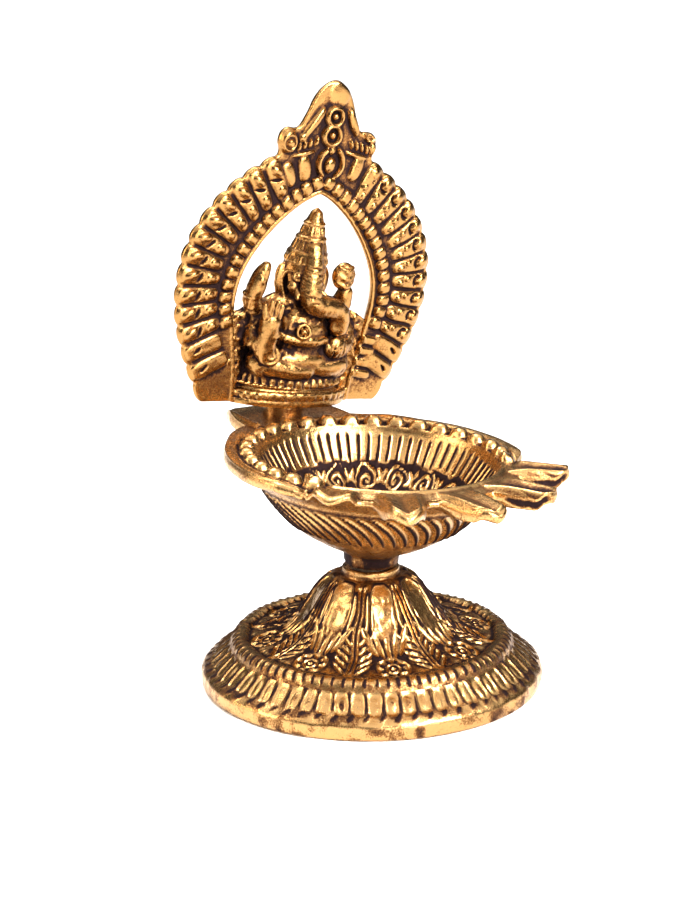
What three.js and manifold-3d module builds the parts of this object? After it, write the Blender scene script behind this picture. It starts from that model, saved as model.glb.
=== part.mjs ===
// Cast brass diya: a hollow bell-shaped base, an oil bowl with five wick spouts that is
// clamped to the base by one central stud, and an arch with a seated Ganesha figure that
// is clamped to the bowl's rear tab by one screw. Millimetres, +Z up, front spout towards -Y.
// The origin is the middle of the base's footprint.
import * as THREE from "three";
import { mergeVertices } from "three/addons/utils/BufferGeometryUtils.js";
import Module from "manifold-3d";

const wasm = await Module();
wasm.setup();

// ---------------------------------------------------------------- driving dimensions
const GAP = 0.3; // clearance between pieces that meet
const ROUND = 48; // facets round the base and the bowl

const BASE_R = 38; // footprint radius
const BASE_BAND = 3; // height of the plain outer band
const PLATE_R = 31; // edge of the raised rosette plate
const PLATE_Z = 10.3;
const COLLAR_R = 8.2; // ring on top of the bell
const COLLAR_Z = 24.6;
const BOSS_R = 6.3; // turned boss that the bowl's neck sits on
const SPLIT_Z = 26.2; // joint line between the base and the bowl

// The bowl leans a little on its seat, as the hand-fitted lamp does. Its heights, and those
// of the stud, the nut and the arch, are measured up its own axis.
const BOWL_LEAN = 3.85; // degrees
const BOWL_LEAN_TOWARDS = -33; // degrees round from +X
const NECK_R = 6.1;
const BOWL_BOTTOM_Z = 30.2;
const FLOOR_Z = 34; // lowest point of the oil hollow
const MOUTH_R = 26.8; // inner edge of the rim
const RIM_Z = 51.5; // top of the rim
const RIM_H = 3; // thickness of the rim flange
const VALLEY_R = 31.5; // rim radius between two spouts
const LOBE_R = 33.8; // rim radius along both sides

const SPOUT_COUNT = 5;
const SPOUT_STEP = 25.5; // degrees between neighbouring spouts
const SPOUT_TIPS = [42, 43.5, 45.5, 44, 35.5]; // tip radius, from the right side round to the left
const SPOUT_ROOT_HALF = 5.2; // half-width where a spout leaves the rim
const SPOUT_TIP_HALF = 3.3; // half-width at the blunt tip
const SPOUT_RISE = 0.8; // the channel's edges stand above the rim by this
const SPOUT_DROP = 1.4; // and its blunt end reaches this far below the rim's top
const CHANNEL_HALF = 1.4;

const TAB_BACK_Y = 46; // rear edge of the tab that carries the arch
const TAB_BACK_HALF = 12.3;
const TAB_ROOT_HALF = 14.3;
const TAB_ROOT_Y = 32.4;

const RIM_BEADS = 23;
const BEAD_STEP = 10.7; // degrees
const BEAD_R = 1.9;
const BEAD_RING_R = 28.7;
const BEAD_Z = 52.4;

const PIVOT_Y = 38.7; // the arch's screw stands here
const PIVOT_Z = 54.4; // underside of the arch's foot plate
const ARCH_ROLL = 4.9; // degrees to the right of the bowl's axis: the arch sits rocked
const ARCH_LEAN = 2.9; // degrees forward
const ARCH_FACE = 1.5; // thickness of the wide front of the arch
const ARCH_THICK = 3.8;
const ARCH_DRAFT = 1.9; // its back is narrower by this all round the outside
const ARCH_LOBES = 14; // on each side
const ARCH_BEADS = 15; // on each side
const FOOT_HALF_X = 15.6;
const FOOT_HALF_Y = 7.2;
const FOOT_H = 3.6;
const PLINTH_HALF_X = 13.8;
const PLINTH_HALF_Y = 6.8;
const PLINTH_TOP = 7;

const STUD_R = 2.5;
const STUD_BORE_R = 3.5; // wide enough for the leaning stud
const STUD_BOTTOM_Z = 9.8;
const STUD_TOP_Z = 31.6;
const SEAT_Z = 19; // inside top of the bell, where the washer bears
const WASHER_H = 1;
const WASHER_R = 5.6;
const NUT_H = 4;
const NUT_R = 4.6; // across corners, halved
const SCREW_R = 1.5;
const SCREW_HEAD_R = 3;
const SCREW_HEAD_H = 1.8;
const ARCH_WASHER_H = 0.8;
const TAB_BOSS_R = 4.6; // boss round the screw, faced square to it above and below the tab
const TAB_BOSS_FOOT = -7; // lower face of that boss, measured down the screw from the foot plate

// ---------------------------------------------------------------- helpers
const rad = THREE.MathUtils.degToRad;
const degrees = THREE.MathUtils.radToDeg;
const point = (x, y) => new THREE.Vector2(x, y);

function solid(geometry) {
  const bare = geometry.clone();
  bare.deleteAttribute("normal");
  bare.deleteAttribute("uv");
  const merged = mergeVertices(bare, 1e-4);
  const corners = merged.index.array;
  const kept = [];
  for (let i = 0; i < corners.length; i += 3) {
    const [a, b, c] = corners.slice(i, i + 3);
    if (a !== b && b !== c && c !== a) kept.push(a, b, c); // a slice on the axis has no area
  }
  return new wasm.Manifold(new wasm.Mesh({
    numProp: 3,
    vertProperties: Float32Array.from(merged.attributes.position.array),
    triVerts: Uint32Array.from(kept),
  }));
}

function geometryOf(manifold) {
  const mesh = manifold.getMesh();
  const geometry = new THREE.BufferGeometry();
  geometry.setAttribute("position", new THREE.BufferAttribute(mesh.vertProperties, 3));
  geometry.setIndex(new THREE.BufferAttribute(mesh.triVerts, 1));
  geometry.computeVertexNormals();
  return geometry;
}

// a profile of [radius, height] pairs, anticlockwise, turned about Z; one that keeps off the
// axis is closed on itself
function turned(profile, facets = ROUND) {
  const points = profile.map(([r, z]) => point(r, z));
  if (profile[0][0] > 0) points.push(points[0].clone());
  return solid(new THREE.LatheGeometry(points, facets).rotateX(Math.PI / 2));
}

function cylinder(radius, z0, z1, facets = 24) {
  return turned([[0, z0], [radius, z0], [radius, z1], [0, z1]], facets);
}

// a plan outline raised from z0 to z1
function slab(outline, z0, z1) {
  const shape = new THREE.Shape(outline);
  const geometry = new THREE.ExtrudeGeometry(shape, { depth: z1 - z0, bevelEnabled: false });
  return solid(geometry.translate(0, 0, z0));
}

function ellipse(halfX, halfY, count) {
  return Array.from({ length: count }, (_, i) => {
    const a = (i / count) * 2 * Math.PI;
    return point(halfX * Math.cos(a), halfY * Math.sin(a));
  });
}

function ball([x, y, z], [rx, ry, rz], tilt = [0, 0, 0], facets = 10) {
  const sphere = new THREE.SphereGeometry(1, facets, Math.round(facets * 0.6));
  const pose = new THREE.Matrix4().compose(
    new THREE.Vector3(x, y, z),
    new THREE.Quaternion().setFromEuler(new THREE.Euler(...tilt.map(rad))),
    new THREE.Vector3(rx, ry, rz),
  );
  return solid(sphere.applyMatrix4(pose));
}

// a limb that tapers along a smooth path of [x, y, z, radius] stations
function limb(stations, sides = 7, steps = 8) {
  const path = new THREE.CatmullRomCurve3(stations.map(([x, y, z]) => new THREE.Vector3(x, y, z)));
  const radii = stations.map((s) => s[3]);
  const round = ellipse(1, 1, sides);
  const tube = new THREE.ExtrudeGeometry(new THREE.Shape(round), { extrudePath: path, steps });
  const place = tube.attributes.position;
  const frames = Array.from({ length: steps + 1 }, (_, i) => path.getPointAt(i / steps));
  const spot = new THREE.Vector3();
  for (let i = 0; i < place.count; i++) {
    spot.fromBufferAttribute(place, i);
    let near = 0;
    frames.forEach((centre, k) => {
      if (centre.distanceTo(spot) < frames[near].distanceTo(spot)) near = k;
    });
    const along = (near / steps) * (radii.length - 1);
    const low = Math.min(Math.floor(along), radii.length - 2);
    const radius = THREE.MathUtils.lerp(radii[low], radii[low + 1], along - low);
    spot.sub(frames[near]).setLength(radius).add(frames[near]);
    place.setXYZ(i, spot.x, spot.y, spot.z);
  }
  return solid(tube);
}

const unite = (pieces) => pieces.reduce((whole, piece) => whole.add(piece));

function brass(color, roughness) {
  return new THREE.MeshStandardMaterial({ color, roughness, metalness: 1 });
}

function part(name, manifold, material) {
  const mesh = new THREE.Mesh(geometryOf(manifold), material);
  mesh.name = name;
  return mesh;
}

// ---------------------------------------------------------------- base
function baseCasting() {
  const outside = [
    [BASE_R, 0], [BASE_R, BASE_BAND], [BASE_R - 0.6, BASE_BAND + 0.7],
    [34, 6.3], [31.8, 8], [PLATE_R, 9], [PLATE_R - 0.5, PLATE_Z], [29, PLATE_Z + 0.4],
    [27.3, PLATE_Z + 0.1], [20.8, 12], [18.4, 13.5], [16.2, 15.8], [12.7, 21.2],
    [10.8, 23.3], [9, COLLAR_Z - 0.3], [COLLAR_R, COLLAR_Z], [BOSS_R, COLLAR_Z - 0.2],
    [BOSS_R, SPLIT_Z],
  ];
  const inside = [
    [STUD_BORE_R, SPLIT_Z], [STUD_BORE_R, SEAT_Z], [8.4, SEAT_Z], [11.6, 16.6],
    [14.4, 12.6], [18.4, 9], [28, 6.6], [35, 1.6], [35, 0],
  ];
  return turned([...outside, ...inside]);
}

// ---------------------------------------------------------------- bowl
const NECK_FOOT_Z = SPLIT_Z + GAP + NECK_R * Math.sin(rad(BOWL_LEAN)); // clears the boss
const spoutAngle = (index) => ((SPOUT_COUNT - 1) / 2 - index) * SPOUT_STEP;
const TAB_CORNER = degrees(Math.atan2(TAB_BACK_HALF, TAB_BACK_Y)); // seen from the axis
const TAB_ROOT = degrees(Math.atan2(TAB_ROOT_HALF, TAB_ROOT_Y));

// the rim's radius at an angle measured in degrees from the front spout
function rimRadius(angle) {
  const turn = Math.abs(angle);
  const back = 180 - turn;
  if (back <= TAB_CORNER) return TAB_BACK_Y / Math.cos(rad(back));
  const cornerR = Math.hypot(TAB_BACK_HALF, TAB_BACK_Y);
  const rootR = Math.hypot(TAB_ROOT_HALF, TAB_ROOT_Y);
  if (back < TAB_ROOT) return THREE.MathUtils.mapLinear(back, TAB_CORNER, TAB_ROOT, cornerR, rootR);
  const lobe = LOBE_R + (rootR - LOBE_R) * THREE.MathUtils.smoothstep(turn, 125, 180 - TAB_ROOT);
  return THREE.MathUtils.lerp(VALLEY_R, lobe, THREE.MathUtils.smoothstep(turn, 63, 74));
}

function rimOutline() {
  const angles = Array.from({ length: 72 }, (_, i) => -177.5 + i * 5);
  angles.push(180 - TAB_CORNER, TAB_CORNER - 180);
  angles.sort((a, b) => a - b);
  return angles.map((a) => {
    const r = rimRadius(a);
    return point(r * Math.sin(rad(a)), -r * Math.cos(rad(a)));
  });
}

// a plan wedge pointing to the front, narrowing from its root to its end
const wedge = (rootHalf, rootR, endHalf, endR) => [
  point(-rootHalf, -rootR), point(-endHalf, -endR), point(endHalf, -endR), point(rootHalf, -rootR),
];

function spout(index) {
  const tip = SPOUT_TIPS[index];
  const root = MOUTH_R + 0.5;
  const body = slab(wedge(SPOUT_ROOT_HALF, root, SPOUT_TIP_HALF, tip),
    RIM_Z - SPOUT_DROP, RIM_Z + SPOUT_RISE);
  const web = slab(wedge(SPOUT_ROOT_HALF - 0.6, root, SPOUT_TIP_HALF, (tip + root) / 2),
    RIM_Z - SPOUT_DROP - 1.6, RIM_Z);
  return body.add(web).rotate([0, 0, spoutAngle(index)]);
}

function spoutChannel(index) {
  const outline = wedge(CHANNEL_HALF * 1.7, MOUTH_R - 1, CHANNEL_HALF, SPOUT_TIPS[index] - 1.6);
  return slab(outline, RIM_Z - 0.6, RIM_Z + SPOUT_RISE + 1).rotate([0, 0, spoutAngle(index)]);
}

function lampBowl() {
  const outside = [
    [0, NECK_FOOT_Z], [NECK_R, NECK_FOOT_Z], [NECK_R, BOWL_BOTTOM_Z - 1.2],
    [NECK_R + 1.4, BOWL_BOTTOM_Z], [11.4, 32], [16.4, 34.8], [20.9, 38.6], [24.6, 43],
    [27.2, 47], [28.6, RIM_Z - RIM_H], [28.6, RIM_Z], [0, RIM_Z],
  ];
  const hollow = [
    [0, FLOOR_Z], [9, FLOOR_Z + 0.6], [15, 36.8], [19.8, 40.4], [23.2, 44.6], [25.4, 48],
    [MOUTH_R, RIM_Z - 0.8], [MOUTH_R, RIM_Z + 5], [0, RIM_Z + 5],
  ];
  const beadArc = (RIM_BEADS - 1) / 2;
  const beads = Array.from({ length: RIM_BEADS }, (_, i) => {
    const a = rad(90 + (i - beadArc) * BEAD_STEP);
    const spot = [BEAD_RING_R * Math.cos(a), BEAD_RING_R * Math.sin(a), BEAD_Z];
    return ball(spot, [BEAD_R, BEAD_R, BEAD_R], [0, 0, 0], 7);
  });
  const indices = SPOUT_TIPS.map((_, i) => i);
  const cast = unite([
    turned(outside),
    slab(rimOutline(), RIM_Z - RIM_H, RIM_Z),
    ...indices.map(spout),
  ]);
  const carved = indices.map(spoutChannel).reduce((whole, cut) => whole.subtract(cut), cast);
  const studHole = cylinder(STUD_R + GAP, NECK_FOOT_Z - 1, STUD_TOP_Z + GAP, 16);
  const seat = inArch(cylinder(TAB_BOSS_R, TAB_BOSS_FOOT, -GAP));
  const screwHole = inArch(cylinder(SCREW_R + GAP, TAB_BOSS_FOOT - 2, 2));
  return unite([carved.subtract(turned(hollow)).subtract(studHole), ...beads, seat])
    .subtract(screwHole);
}

// ---------------------------------------------------------------- arch and figure
// Both are drawn upright about the arch's screw: X across, Y to the rear, Z up, with the
// foot plate's underside at zero. This pose then sets them on the rear tab.
const ARCH_POSE = new THREE.Matrix4().compose(
  new THREE.Vector3(0, PIVOT_Y, PIVOT_Z),
  new THREE.Quaternion().setFromEuler(new THREE.Euler(rad(ARCH_LEAN), rad(ARCH_ROLL), 0)),
  new THREE.Vector3(1, 1, 1),
);

function inArch(manifold) {
  return manifold.transform(ARCH_POSE.toArray());
}

// right half of the arch's outer edge, foot to shoulder, as [half width, height]
const ARCH_OUTER = [
  [24, 0], [25.6, 3.2], [28.6, 8.4], [31.8, 15.4], [33.7, 22.4], [34, 28.6], [33.4, 34.2],
  [31.2, 40.4], [26.9, 46.8], [21.4, 51.9], [16, 55.4], [12.4, 57.4],
];
// right half of the crest that tops the arch
const CREST = [
  [12.8, 59.2], [12.8, 61.6], [11.2, 63.6], [9.2, 63.4], [7.6, 64.2], [6.2, 67.4],
  [4.6, 71], [2.6, 73.6], [0.8, 74.4],
];
// right half of the opening, foot to point
const ARCH_INNER = [
  [15.2, 0], [15.4, 6], [16.7, 12], [17.8, 17.5], [18.5, 23], [18.3, 27.5], [16.9, 32],
  [14.3, 36.7], [10.8, 41.2], [6.6, 45], [2.6, 47.8], [0, 48.8],
];
// line of the beads between the opening and the lobes
const BEAD_LINE = [
  [20.4, 19], [21.3, 22], [21.6, 25], [21.3, 28], [20.6, 31], [19.6, 33.8], [18, 36.6],
  [16.4, 39], [14.4, 41.4], [12.4, 43.5], [10.4, 45.4], [8.3, 47.2], [6.1, 48.8],
  [3.9, 50.3], [1.5, 51.3],
];

// relief on the crest: two ringed bosses, an oval jewel under them, and an ear at each side
const RING_HEIGHTS = [66.3, 62];
const JEWEL_HEIGHT = 55.2;
const EAR_OUT = 10.9;
const EAR_HEIGHT = 61;

const smooth = (pairs) => new THREE.SplineCurve(pairs.map(([x, y]) => point(x, y)));

function archOutline(inset) {
  const outer = smooth(ARCH_OUTER);
  const steps = ARCH_LOBES * 3;
  const side = [];
  for (let i = 0; i < steps; i++) {
    const along = i / steps;
    const spot = outer.getPointAt(along);
    const tangent = outer.getTangentAt(along);
    const swell = 0.7 * Math.abs(Math.sin((i / 3) * Math.PI)) - 0.5 - inset;
    side.push(point(spot.x + tangent.y * swell, Math.max(spot.y - tangent.x * swell, 0)));
  }
  side[0].set(ARCH_OUTER[0][0] - inset, 0);
  const crest = smooth(CREST).getPoints(14);
  const right = [...side, ...crest.map((p) => point(p.x - inset * p.x / CREST[0][0], p.y - inset))];
  const left = right.map((p) => point(-p.x, p.y)).reverse();
  return [...right, ...left];
}

function archOpening() {
  const right = smooth(ARCH_INNER).getPoints(20).slice(0, -1);
  right[0].set(ARCH_INNER[0][0], -1);
  const left = right.map((p) => point(-p.x, p.y)).reverse();
  return [...right, point(0, ARCH_INNER.at(-1)[1]), ...left];
}

function standing(outline, y0, y1) {
  const geometry = new THREE.ExtrudeGeometry(
    new THREE.Shape(outline), { depth: y1 - y0, bevelEnabled: false },
  );
  return solid(geometry.rotateX(Math.PI / 2).translate(0, y1, 0));
}

function archCasting() {
  const front = -ARCH_THICK / 2;
  const plate = standing(archOutline(0), front, front + ARCH_FACE)
    .add(standing(archOutline(ARCH_DRAFT), front + ARCH_FACE - 0.1, -front))
    .subtract(standing(archOpening(), front - 1, 1 - front));
  const foot = slab(ellipse(FOOT_HALF_X, FOOT_HALF_Y, 32), 0, FOOT_H);
  const line = smooth(BEAD_LINE);
  const beads = [];
  for (let i = 0; i < ARCH_BEADS; i++) {
    const spot = line.getPointAt(i / (ARCH_BEADS - 1));
    for (const side of [-1, 1]) {
      beads.push(ball([side * spot.x, front, spot.y], [1.4, 1.1, 1.4], [0, 0, 0], 6));
    }
  }
  const rings = RING_HEIGHTS.map((z) => ball([0.4, front, z], [2.8, 1.3, 2.2]));
  const jewel = ball([0.6, front, JEWEL_HEIGHT], [1.5, 1.2, 2.2]);
  const ears = [-EAR_OUT, EAR_OUT].map((x) => ball([x, front, EAR_HEIGHT], [1.9, 1.2, 2.6]));
  return unite([plate, foot, ...beads, ...rings, jewel, ...ears])
    .subtract(cylinder(SCREW_R + GAP, -1, FOOT_H + 1));
}

// right half of the thin wall behind the figure, which fills the foot of the opening
const BACK_WALL = [
  [14.8, 3.9], [15, 6], [16.2, 11.8], [17.2, 17], [17.4, 19.2], [15.6, 20.6], [11, 22.6], [5, 24],
];

function backWall() {
  const left = BACK_WALL.map(([x, z]) => point(-x, z)).reverse();
  return standing([...BACK_WALL.map(([x, z]) => point(x, z)), ...left], 0, ARCH_THICK / 2);
}

function ganeshaFigure() {
  const belly = [ball([0, -1.2, 16], [8.6, 5.2, 9.4]), ball([-1, -4, 17], [5.4, 3.4, 5])];
  const legs = [
    ball([-9.4, -3.2, 11.6], [4.4, 4, 4.2]),
    ball([8.8, -3, 10.6], [4.6, 3.8, 4.2]),
    ball([0, -3.4, 9], [10.4, 3.6, 3]),
  ];
  const head = [
    ball([-0.9, -1.6, 30], [5.6, 4.6, 6]),
    ball([-6, 0, 28], [2.6, 1.4, 4]),
    ball([4.6, 0, 28.4], [2.6, 1.4, 4]),
  ];
  const crown = turned([
    [0, 33], [5, 33], [4.6, 36], [3.4, 40], [1.9, 43.6], [0.9, 45.2], [0, 45.4],
  ], 14).translate([-0.5, -0.8, 0]);
  const trunk = limb([
    [-1, -4.6, 32, 2.4], [-1.7, -6.8, 27, 2.5], [-0.6, -7.2, 24.2, 2.5], [4.6, -7, 23.6, 2.3],
    [7.4, -6.6, 22.2, 2.3], [7.7, -6.4, 18.8, 2],
  ]);
  const raisedArms = [
    limb([[-8.5, 0, 21, 2.4], [-12.6, -0.6, 21, 2.3], [-14, -1.8, 26, 1.8], [-12.4, -2.6, 32.6, 1.2]]),
    limb([[7.5, 0, 21, 2.4], [11, -0.6, 21.5, 2.1], [10.8, -1.8, 25.5, 2], [9.8, -2.4, 31, 2.2]]),
  ];
  const blessingArm = limb([
    [-9, -1.5, 20.5, 2.4], [-12.6, -3, 16, 2.4], [-11.8, -5.8, 17.4, 2], [-11.6, -6.4, 23.4, 1.7],
  ]);
  const sweetsArm = limb([
    [8, -1, 20, 2.4], [12, -2, 17.5, 2.2], [11, -4.6, 14.6, 2.2], [8, -5.6, 14, 2.2],
  ]);
  const seat = slab(ellipse(PLINTH_HALF_X, PLINTH_HALF_Y, 28), FOOT_H + GAP, PLINTH_TOP);
  return unite([
    seat, backWall(), ...belly, ...legs, ...head, crown, trunk, ...raisedArms, blessingArm, sweetsArm,
  ]).subtract(cylinder(SCREW_R + GAP, FOOT_H - 1, PLINTH_TOP + 2));
}

// ---------------------------------------------------------------- fasteners
const WASHER_TOP_Z = SEAT_Z - GAP - WASHER_R * Math.sin(rad(BOWL_LEAN)); // clears the seat

function centreStud() {
  return cylinder(STUD_R, STUD_BOTTOM_Z, STUD_TOP_Z);
}

function clampWasher() {
  const low = WASHER_TOP_Z - WASHER_H;
  const bore = STUD_R + GAP;
  return turned([
    [bore, low], [WASHER_R, low], [WASHER_R, WASHER_TOP_Z], [bore, WASHER_TOP_Z],
  ], 24);
}

function clampNut() {
  const top = WASHER_TOP_Z - WASHER_H - GAP;
  return cylinder(NUT_R, top - NUT_H, top, 6).subtract(cylinder(STUD_R + GAP, 0, top + 1));
}

function archWasher() {
  const top = TAB_BOSS_FOOT - GAP;
  const low = top - ARCH_WASHER_H;
  const bore = SCREW_R + GAP;
  return turned([[bore, low], [4, low], [4, top], [bore, top]], 20);
}

function archScrew() {
  const seat = TAB_BOSS_FOOT - 2 * GAP - ARCH_WASHER_H;
  const head = [
    [0, seat - SCREW_HEAD_H], [SCREW_HEAD_R - 0.8, seat - SCREW_HEAD_H],
    [SCREW_HEAD_R, seat - 0.9], [SCREW_HEAD_R, seat], [SCREW_R, seat],
    [SCREW_R, PLINTH_TOP + 1.4], [0, PLINTH_TOP + 1.4],
  ];
  const slot = slab([point(-4, -0.4), point(4, -0.4), point(4, 0.4), point(-4, 0.4)],
    seat - SCREW_HEAD_H - 1, seat - SCREW_HEAD_H + 0.8);
  return turned(head, 20).subtract(slot);
}

// ---------------------------------------------------------------- assembly
const antique = brass(0xb8862f, 0.34);
const figureBrass = brass(0xb98a38, 0.4);
const plain = brass(0xc2a050, 0.45);
const steel = new THREE.MeshStandardMaterial({ color: 0x9a9a96, roughness: 0.4, metalness: 1 });

const group = new THREE.Group();
group.add(part("base_casting", baseCasting(), antique));

// the bowl, everything clamped to it and the arch lean together about the joint line
const leanTowards = rad(BOWL_LEAN_TOWARDS);
const leanAxis = new THREE.Vector3(-Math.sin(leanTowards), Math.cos(leanTowards), 0);
const seat = new THREE.Vector3(0, 0, SPLIT_Z);
const bowlGroup = new THREE.Group();
bowlGroup.applyMatrix4(new THREE.Matrix4()
  .makeTranslation(seat)
  .multiply(new THREE.Matrix4().makeRotationAxis(leanAxis, rad(BOWL_LEAN)))
  .multiply(new THREE.Matrix4().makeTranslation(seat.clone().negate())));
bowlGroup.add(
  part("lamp_bowl", lampBowl(), antique),
  part("centre_stud", centreStud(), steel),
  part("clamp_washer", clampWasher(), steel),
  part("clamp_nut", clampNut(), plain),
);
group.add(bowlGroup);

const archGroup = new THREE.Group();
archGroup.applyMatrix4(ARCH_POSE);
archGroup.add(
  part("arch_casting", archCasting(), antique),
  part("ganesha_figure", ganeshaFigure(), figureBrass),
  part("arch_screw", archScrew(), steel),
  part("arch_washer", archWasher(), steel),
);
bowlGroup.add(archGroup);
group.updateMatrixWorld(true);

export default group;
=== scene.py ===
# Looks of the cast brass diya: a bell base, a spouted oil bowl, and a lobed arch round a seated
# figure. The castings' relief is real geometry, worked out here from rows of repeated motifs.
# Lengths in the shape functions are millimetres; MM turns them into Blender's metres.
import functools
import itertools
import math

import bpy
import numpy as np
from mathutils import Matrix, Vector


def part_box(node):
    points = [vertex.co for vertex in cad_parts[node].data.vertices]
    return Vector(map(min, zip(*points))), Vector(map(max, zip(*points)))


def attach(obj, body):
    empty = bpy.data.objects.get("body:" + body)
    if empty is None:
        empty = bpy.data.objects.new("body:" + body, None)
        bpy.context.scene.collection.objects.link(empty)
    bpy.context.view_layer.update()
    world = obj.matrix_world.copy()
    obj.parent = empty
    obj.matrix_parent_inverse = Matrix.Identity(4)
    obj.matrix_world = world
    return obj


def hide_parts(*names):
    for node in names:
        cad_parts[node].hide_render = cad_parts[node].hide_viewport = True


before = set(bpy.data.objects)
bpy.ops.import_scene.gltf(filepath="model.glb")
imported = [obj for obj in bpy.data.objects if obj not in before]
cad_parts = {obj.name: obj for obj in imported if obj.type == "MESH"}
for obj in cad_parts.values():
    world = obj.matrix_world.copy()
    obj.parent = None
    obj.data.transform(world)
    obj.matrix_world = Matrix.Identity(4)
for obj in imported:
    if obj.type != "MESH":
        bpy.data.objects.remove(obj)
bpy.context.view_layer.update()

MM = 0.001
TABLE_SIZE = 4096  # random values that lumps() picks from
LATTICE_KEYS = (7919, 104729, 1299709)  # primes that scatter the cells over the table


# ---- helpers: numbers
def smoothstep(low, high, x):
    """0 below low, 1 above high and smooth between."""
    t = np.clip((x - low) / (high - low), 0, 1)
    return t * t * (3 - 2 * t)


def band(low, high, x, soft=0.3):
    """1 between low and high, falling softly to 0 outside."""
    return smoothstep(low - soft, low + soft, x) * (1 - smoothstep(high - soft, high + soft, x))


def soft_max(a, b, width):
    """The larger of two values, rounded over where they are within width of each other."""
    gap = np.clip(0.5 + (a - b) / (2 * width), 0, 1)
    return b + (a - b) * gap + width * gap * (1 - gap)


def soft_min(a, b, width):
    """The smaller of two values, rounded in the same way."""
    return -soft_max(-a, -b, width)


def corner_blend(t, value_at):
    """The values at a cell's eight corners, blended for the place t inside it, from 0 to 1 on each axis."""
    total = 0.0
    for corner in itertools.product((0, 1), repeat=3):
        weight = 1.0
        for axis, far in enumerate(corner):
            weight = weight * (t[..., axis] if far else 1 - t[..., axis])
        total = total + weight * value_at(corner)
    return total


def lumps(points, size, seed):
    """Smooth random values from -1 to 1 that change over about size mm."""
    table = np.random.default_rng(seed).uniform(-1, 1, TABLE_SIZE)
    scaled = np.asarray(points, float) / size + 1000.0
    cell = np.floor(scaled).astype(np.int64)
    t = scaled - cell

    def value_at(corner):
        key = (cell + corner) @ LATTICE_KEYS
        return table[(key ^ (key >> 7)) % TABLE_SIZE]

    return corner_blend(t * t * (3 - 2 * t), value_at)


def rounded(points, count, cuts=3):
    """A polyline with its corners cut round, as count points at equal steps."""
    path = np.array(points, float)
    for _ in range(cuts):
        near = path[:-1] * 0.75 + path[1:] * 0.25
        far = path[:-1] * 0.25 + path[1:] * 0.75
        path = np.vstack([path[:1], np.stack([near, far], 1).reshape(-1, path.shape[1]), path[-1:]])
    along = np.r_[0, np.cumsum(np.linalg.norm(np.diff(path, axis=0), axis=1))]
    want = np.linspace(0, along[-1], count)
    return np.stack([np.interp(want, along, path[:, i]) for i in range(path.shape[1])], 1)


def joined(stretches):
    """Profile stretches end to end, without the points that repeat."""
    return np.vstack([stretches[0]] + [s[1:] for s in stretches[1:]])


def highest(*heights):
    """Motifs laid over each other, the highest showing."""
    return functools.reduce(np.maximum, heights)


# ---- helpers: motifs
def turned_to(x, y, x0, y0, degrees):
    """Coordinates across and along a motif centred at x0, y0 and turned anticlockwise."""
    c, s = math.cos(math.radians(degrees)), math.sin(math.radians(degrees))
    return (x - x0) * c + (y - y0) * s, (y - y0) * c - (x - x0) * s


def pad(x, y, half_x, half_y, flatness=2.0):
    """A rounded raised pad, 1 at its middle and 0 at its edge."""
    far = np.abs(x / half_x) ** flatness + np.abs(y / half_y) ** flatness
    return np.sqrt(np.clip(1 - far, 0, 1))


def ring(x, y, radius, half_width):
    """A raised ring."""
    return np.clip(1 - ((np.hypot(x, y) - radius) / half_width) ** 2, 0, 1)


def ridge(distance, half_width):
    """A rounded ridge along the line where distance is 0."""
    return np.clip(1 - (distance / half_width) ** 2, 0, 1)


def curl(x, y, radius, pitch, turn=0.0, hand=1):
    """A raised spiral."""
    r = np.hypot(x, y)
    phase = r / pitch - hand * np.arctan2(y, x) / (2 * math.pi) + turn
    return ridge((phase % 1) - 0.5, 0.3) * (1 - smoothstep(radius - 0.3, radius, r))


def blurred(values, reach, axes):
    """A running mean over reach steps each way, twice, along the given axes; True where it wraps."""
    for axis, wraps in axes:
        for _ in range(2):
            mode = "wrap" if wraps else "edge"
            pads = [(0, 0)] * values.ndim
            pads[axis] = (reach, reach)
            padded = np.pad(values, pads, mode=mode)
            size = values.shape[axis]
            values = sum(
                np.take(padded, np.arange(k, k + size), axis) for k in range(2 * reach + 1)
            ) / (2 * reach + 1)
    return values


# ---- helpers: meshes
def new_piece(name, points, quads, recess_and_shade, node, body, material):
    """A mesh piece in the row frame that stands for a CAD node. recess is below 0 on raised metal; above 0 it
    darkens the hollows as patina, and on some pieces it carries painted shade as well.
    """
    mesh = bpy.data.meshes.new(name)
    mesh.from_pydata((points * MM).tolist(), [], quads.tolist())
    mesh.validate()
    mesh.update()
    layer = mesh.attributes.new("recess_and_shade", "FLOAT", "POINT")
    layer.data.foreach_set("value", recess_and_shade.astype(np.float32))
    mesh.polygons.foreach_set("use_smooth", [True] * len(mesh.polygons))
    piece = bpy.data.objects.new(name, mesh)
    bpy.context.scene.collection.objects.link(piece)
    mesh.materials.append(material)
    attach(piece, body)
    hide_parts(node)


def turned(profile, columns):
    """A profile of radius and height turned about Z: the angles in radians, and rows by columns of points."""
    theta = (np.arange(columns) / columns * 2 * math.pi)[None, :]
    r, z = profile[:, :1], profile[:, 1:]
    return theta, np.stack(np.broadcast_arrays(r * np.cos(theta), r * np.sin(theta), z), -1)


def wrapped_quads(rows, columns, closed_rows):
    """Quads of a grid whose columns go round, rows by columns."""
    row = np.arange(rows if closed_rows else rows - 1)[:, None]
    column = np.arange(columns)[None, :]
    below = (row + 1) % rows
    beside = (column + 1) % columns
    corners = [row * columns + column, row * columns + beside, below * columns + beside,
               below * columns + column]
    return np.stack([c.reshape(-1) for c in np.broadcast_arrays(*corners)], 1)


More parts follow.
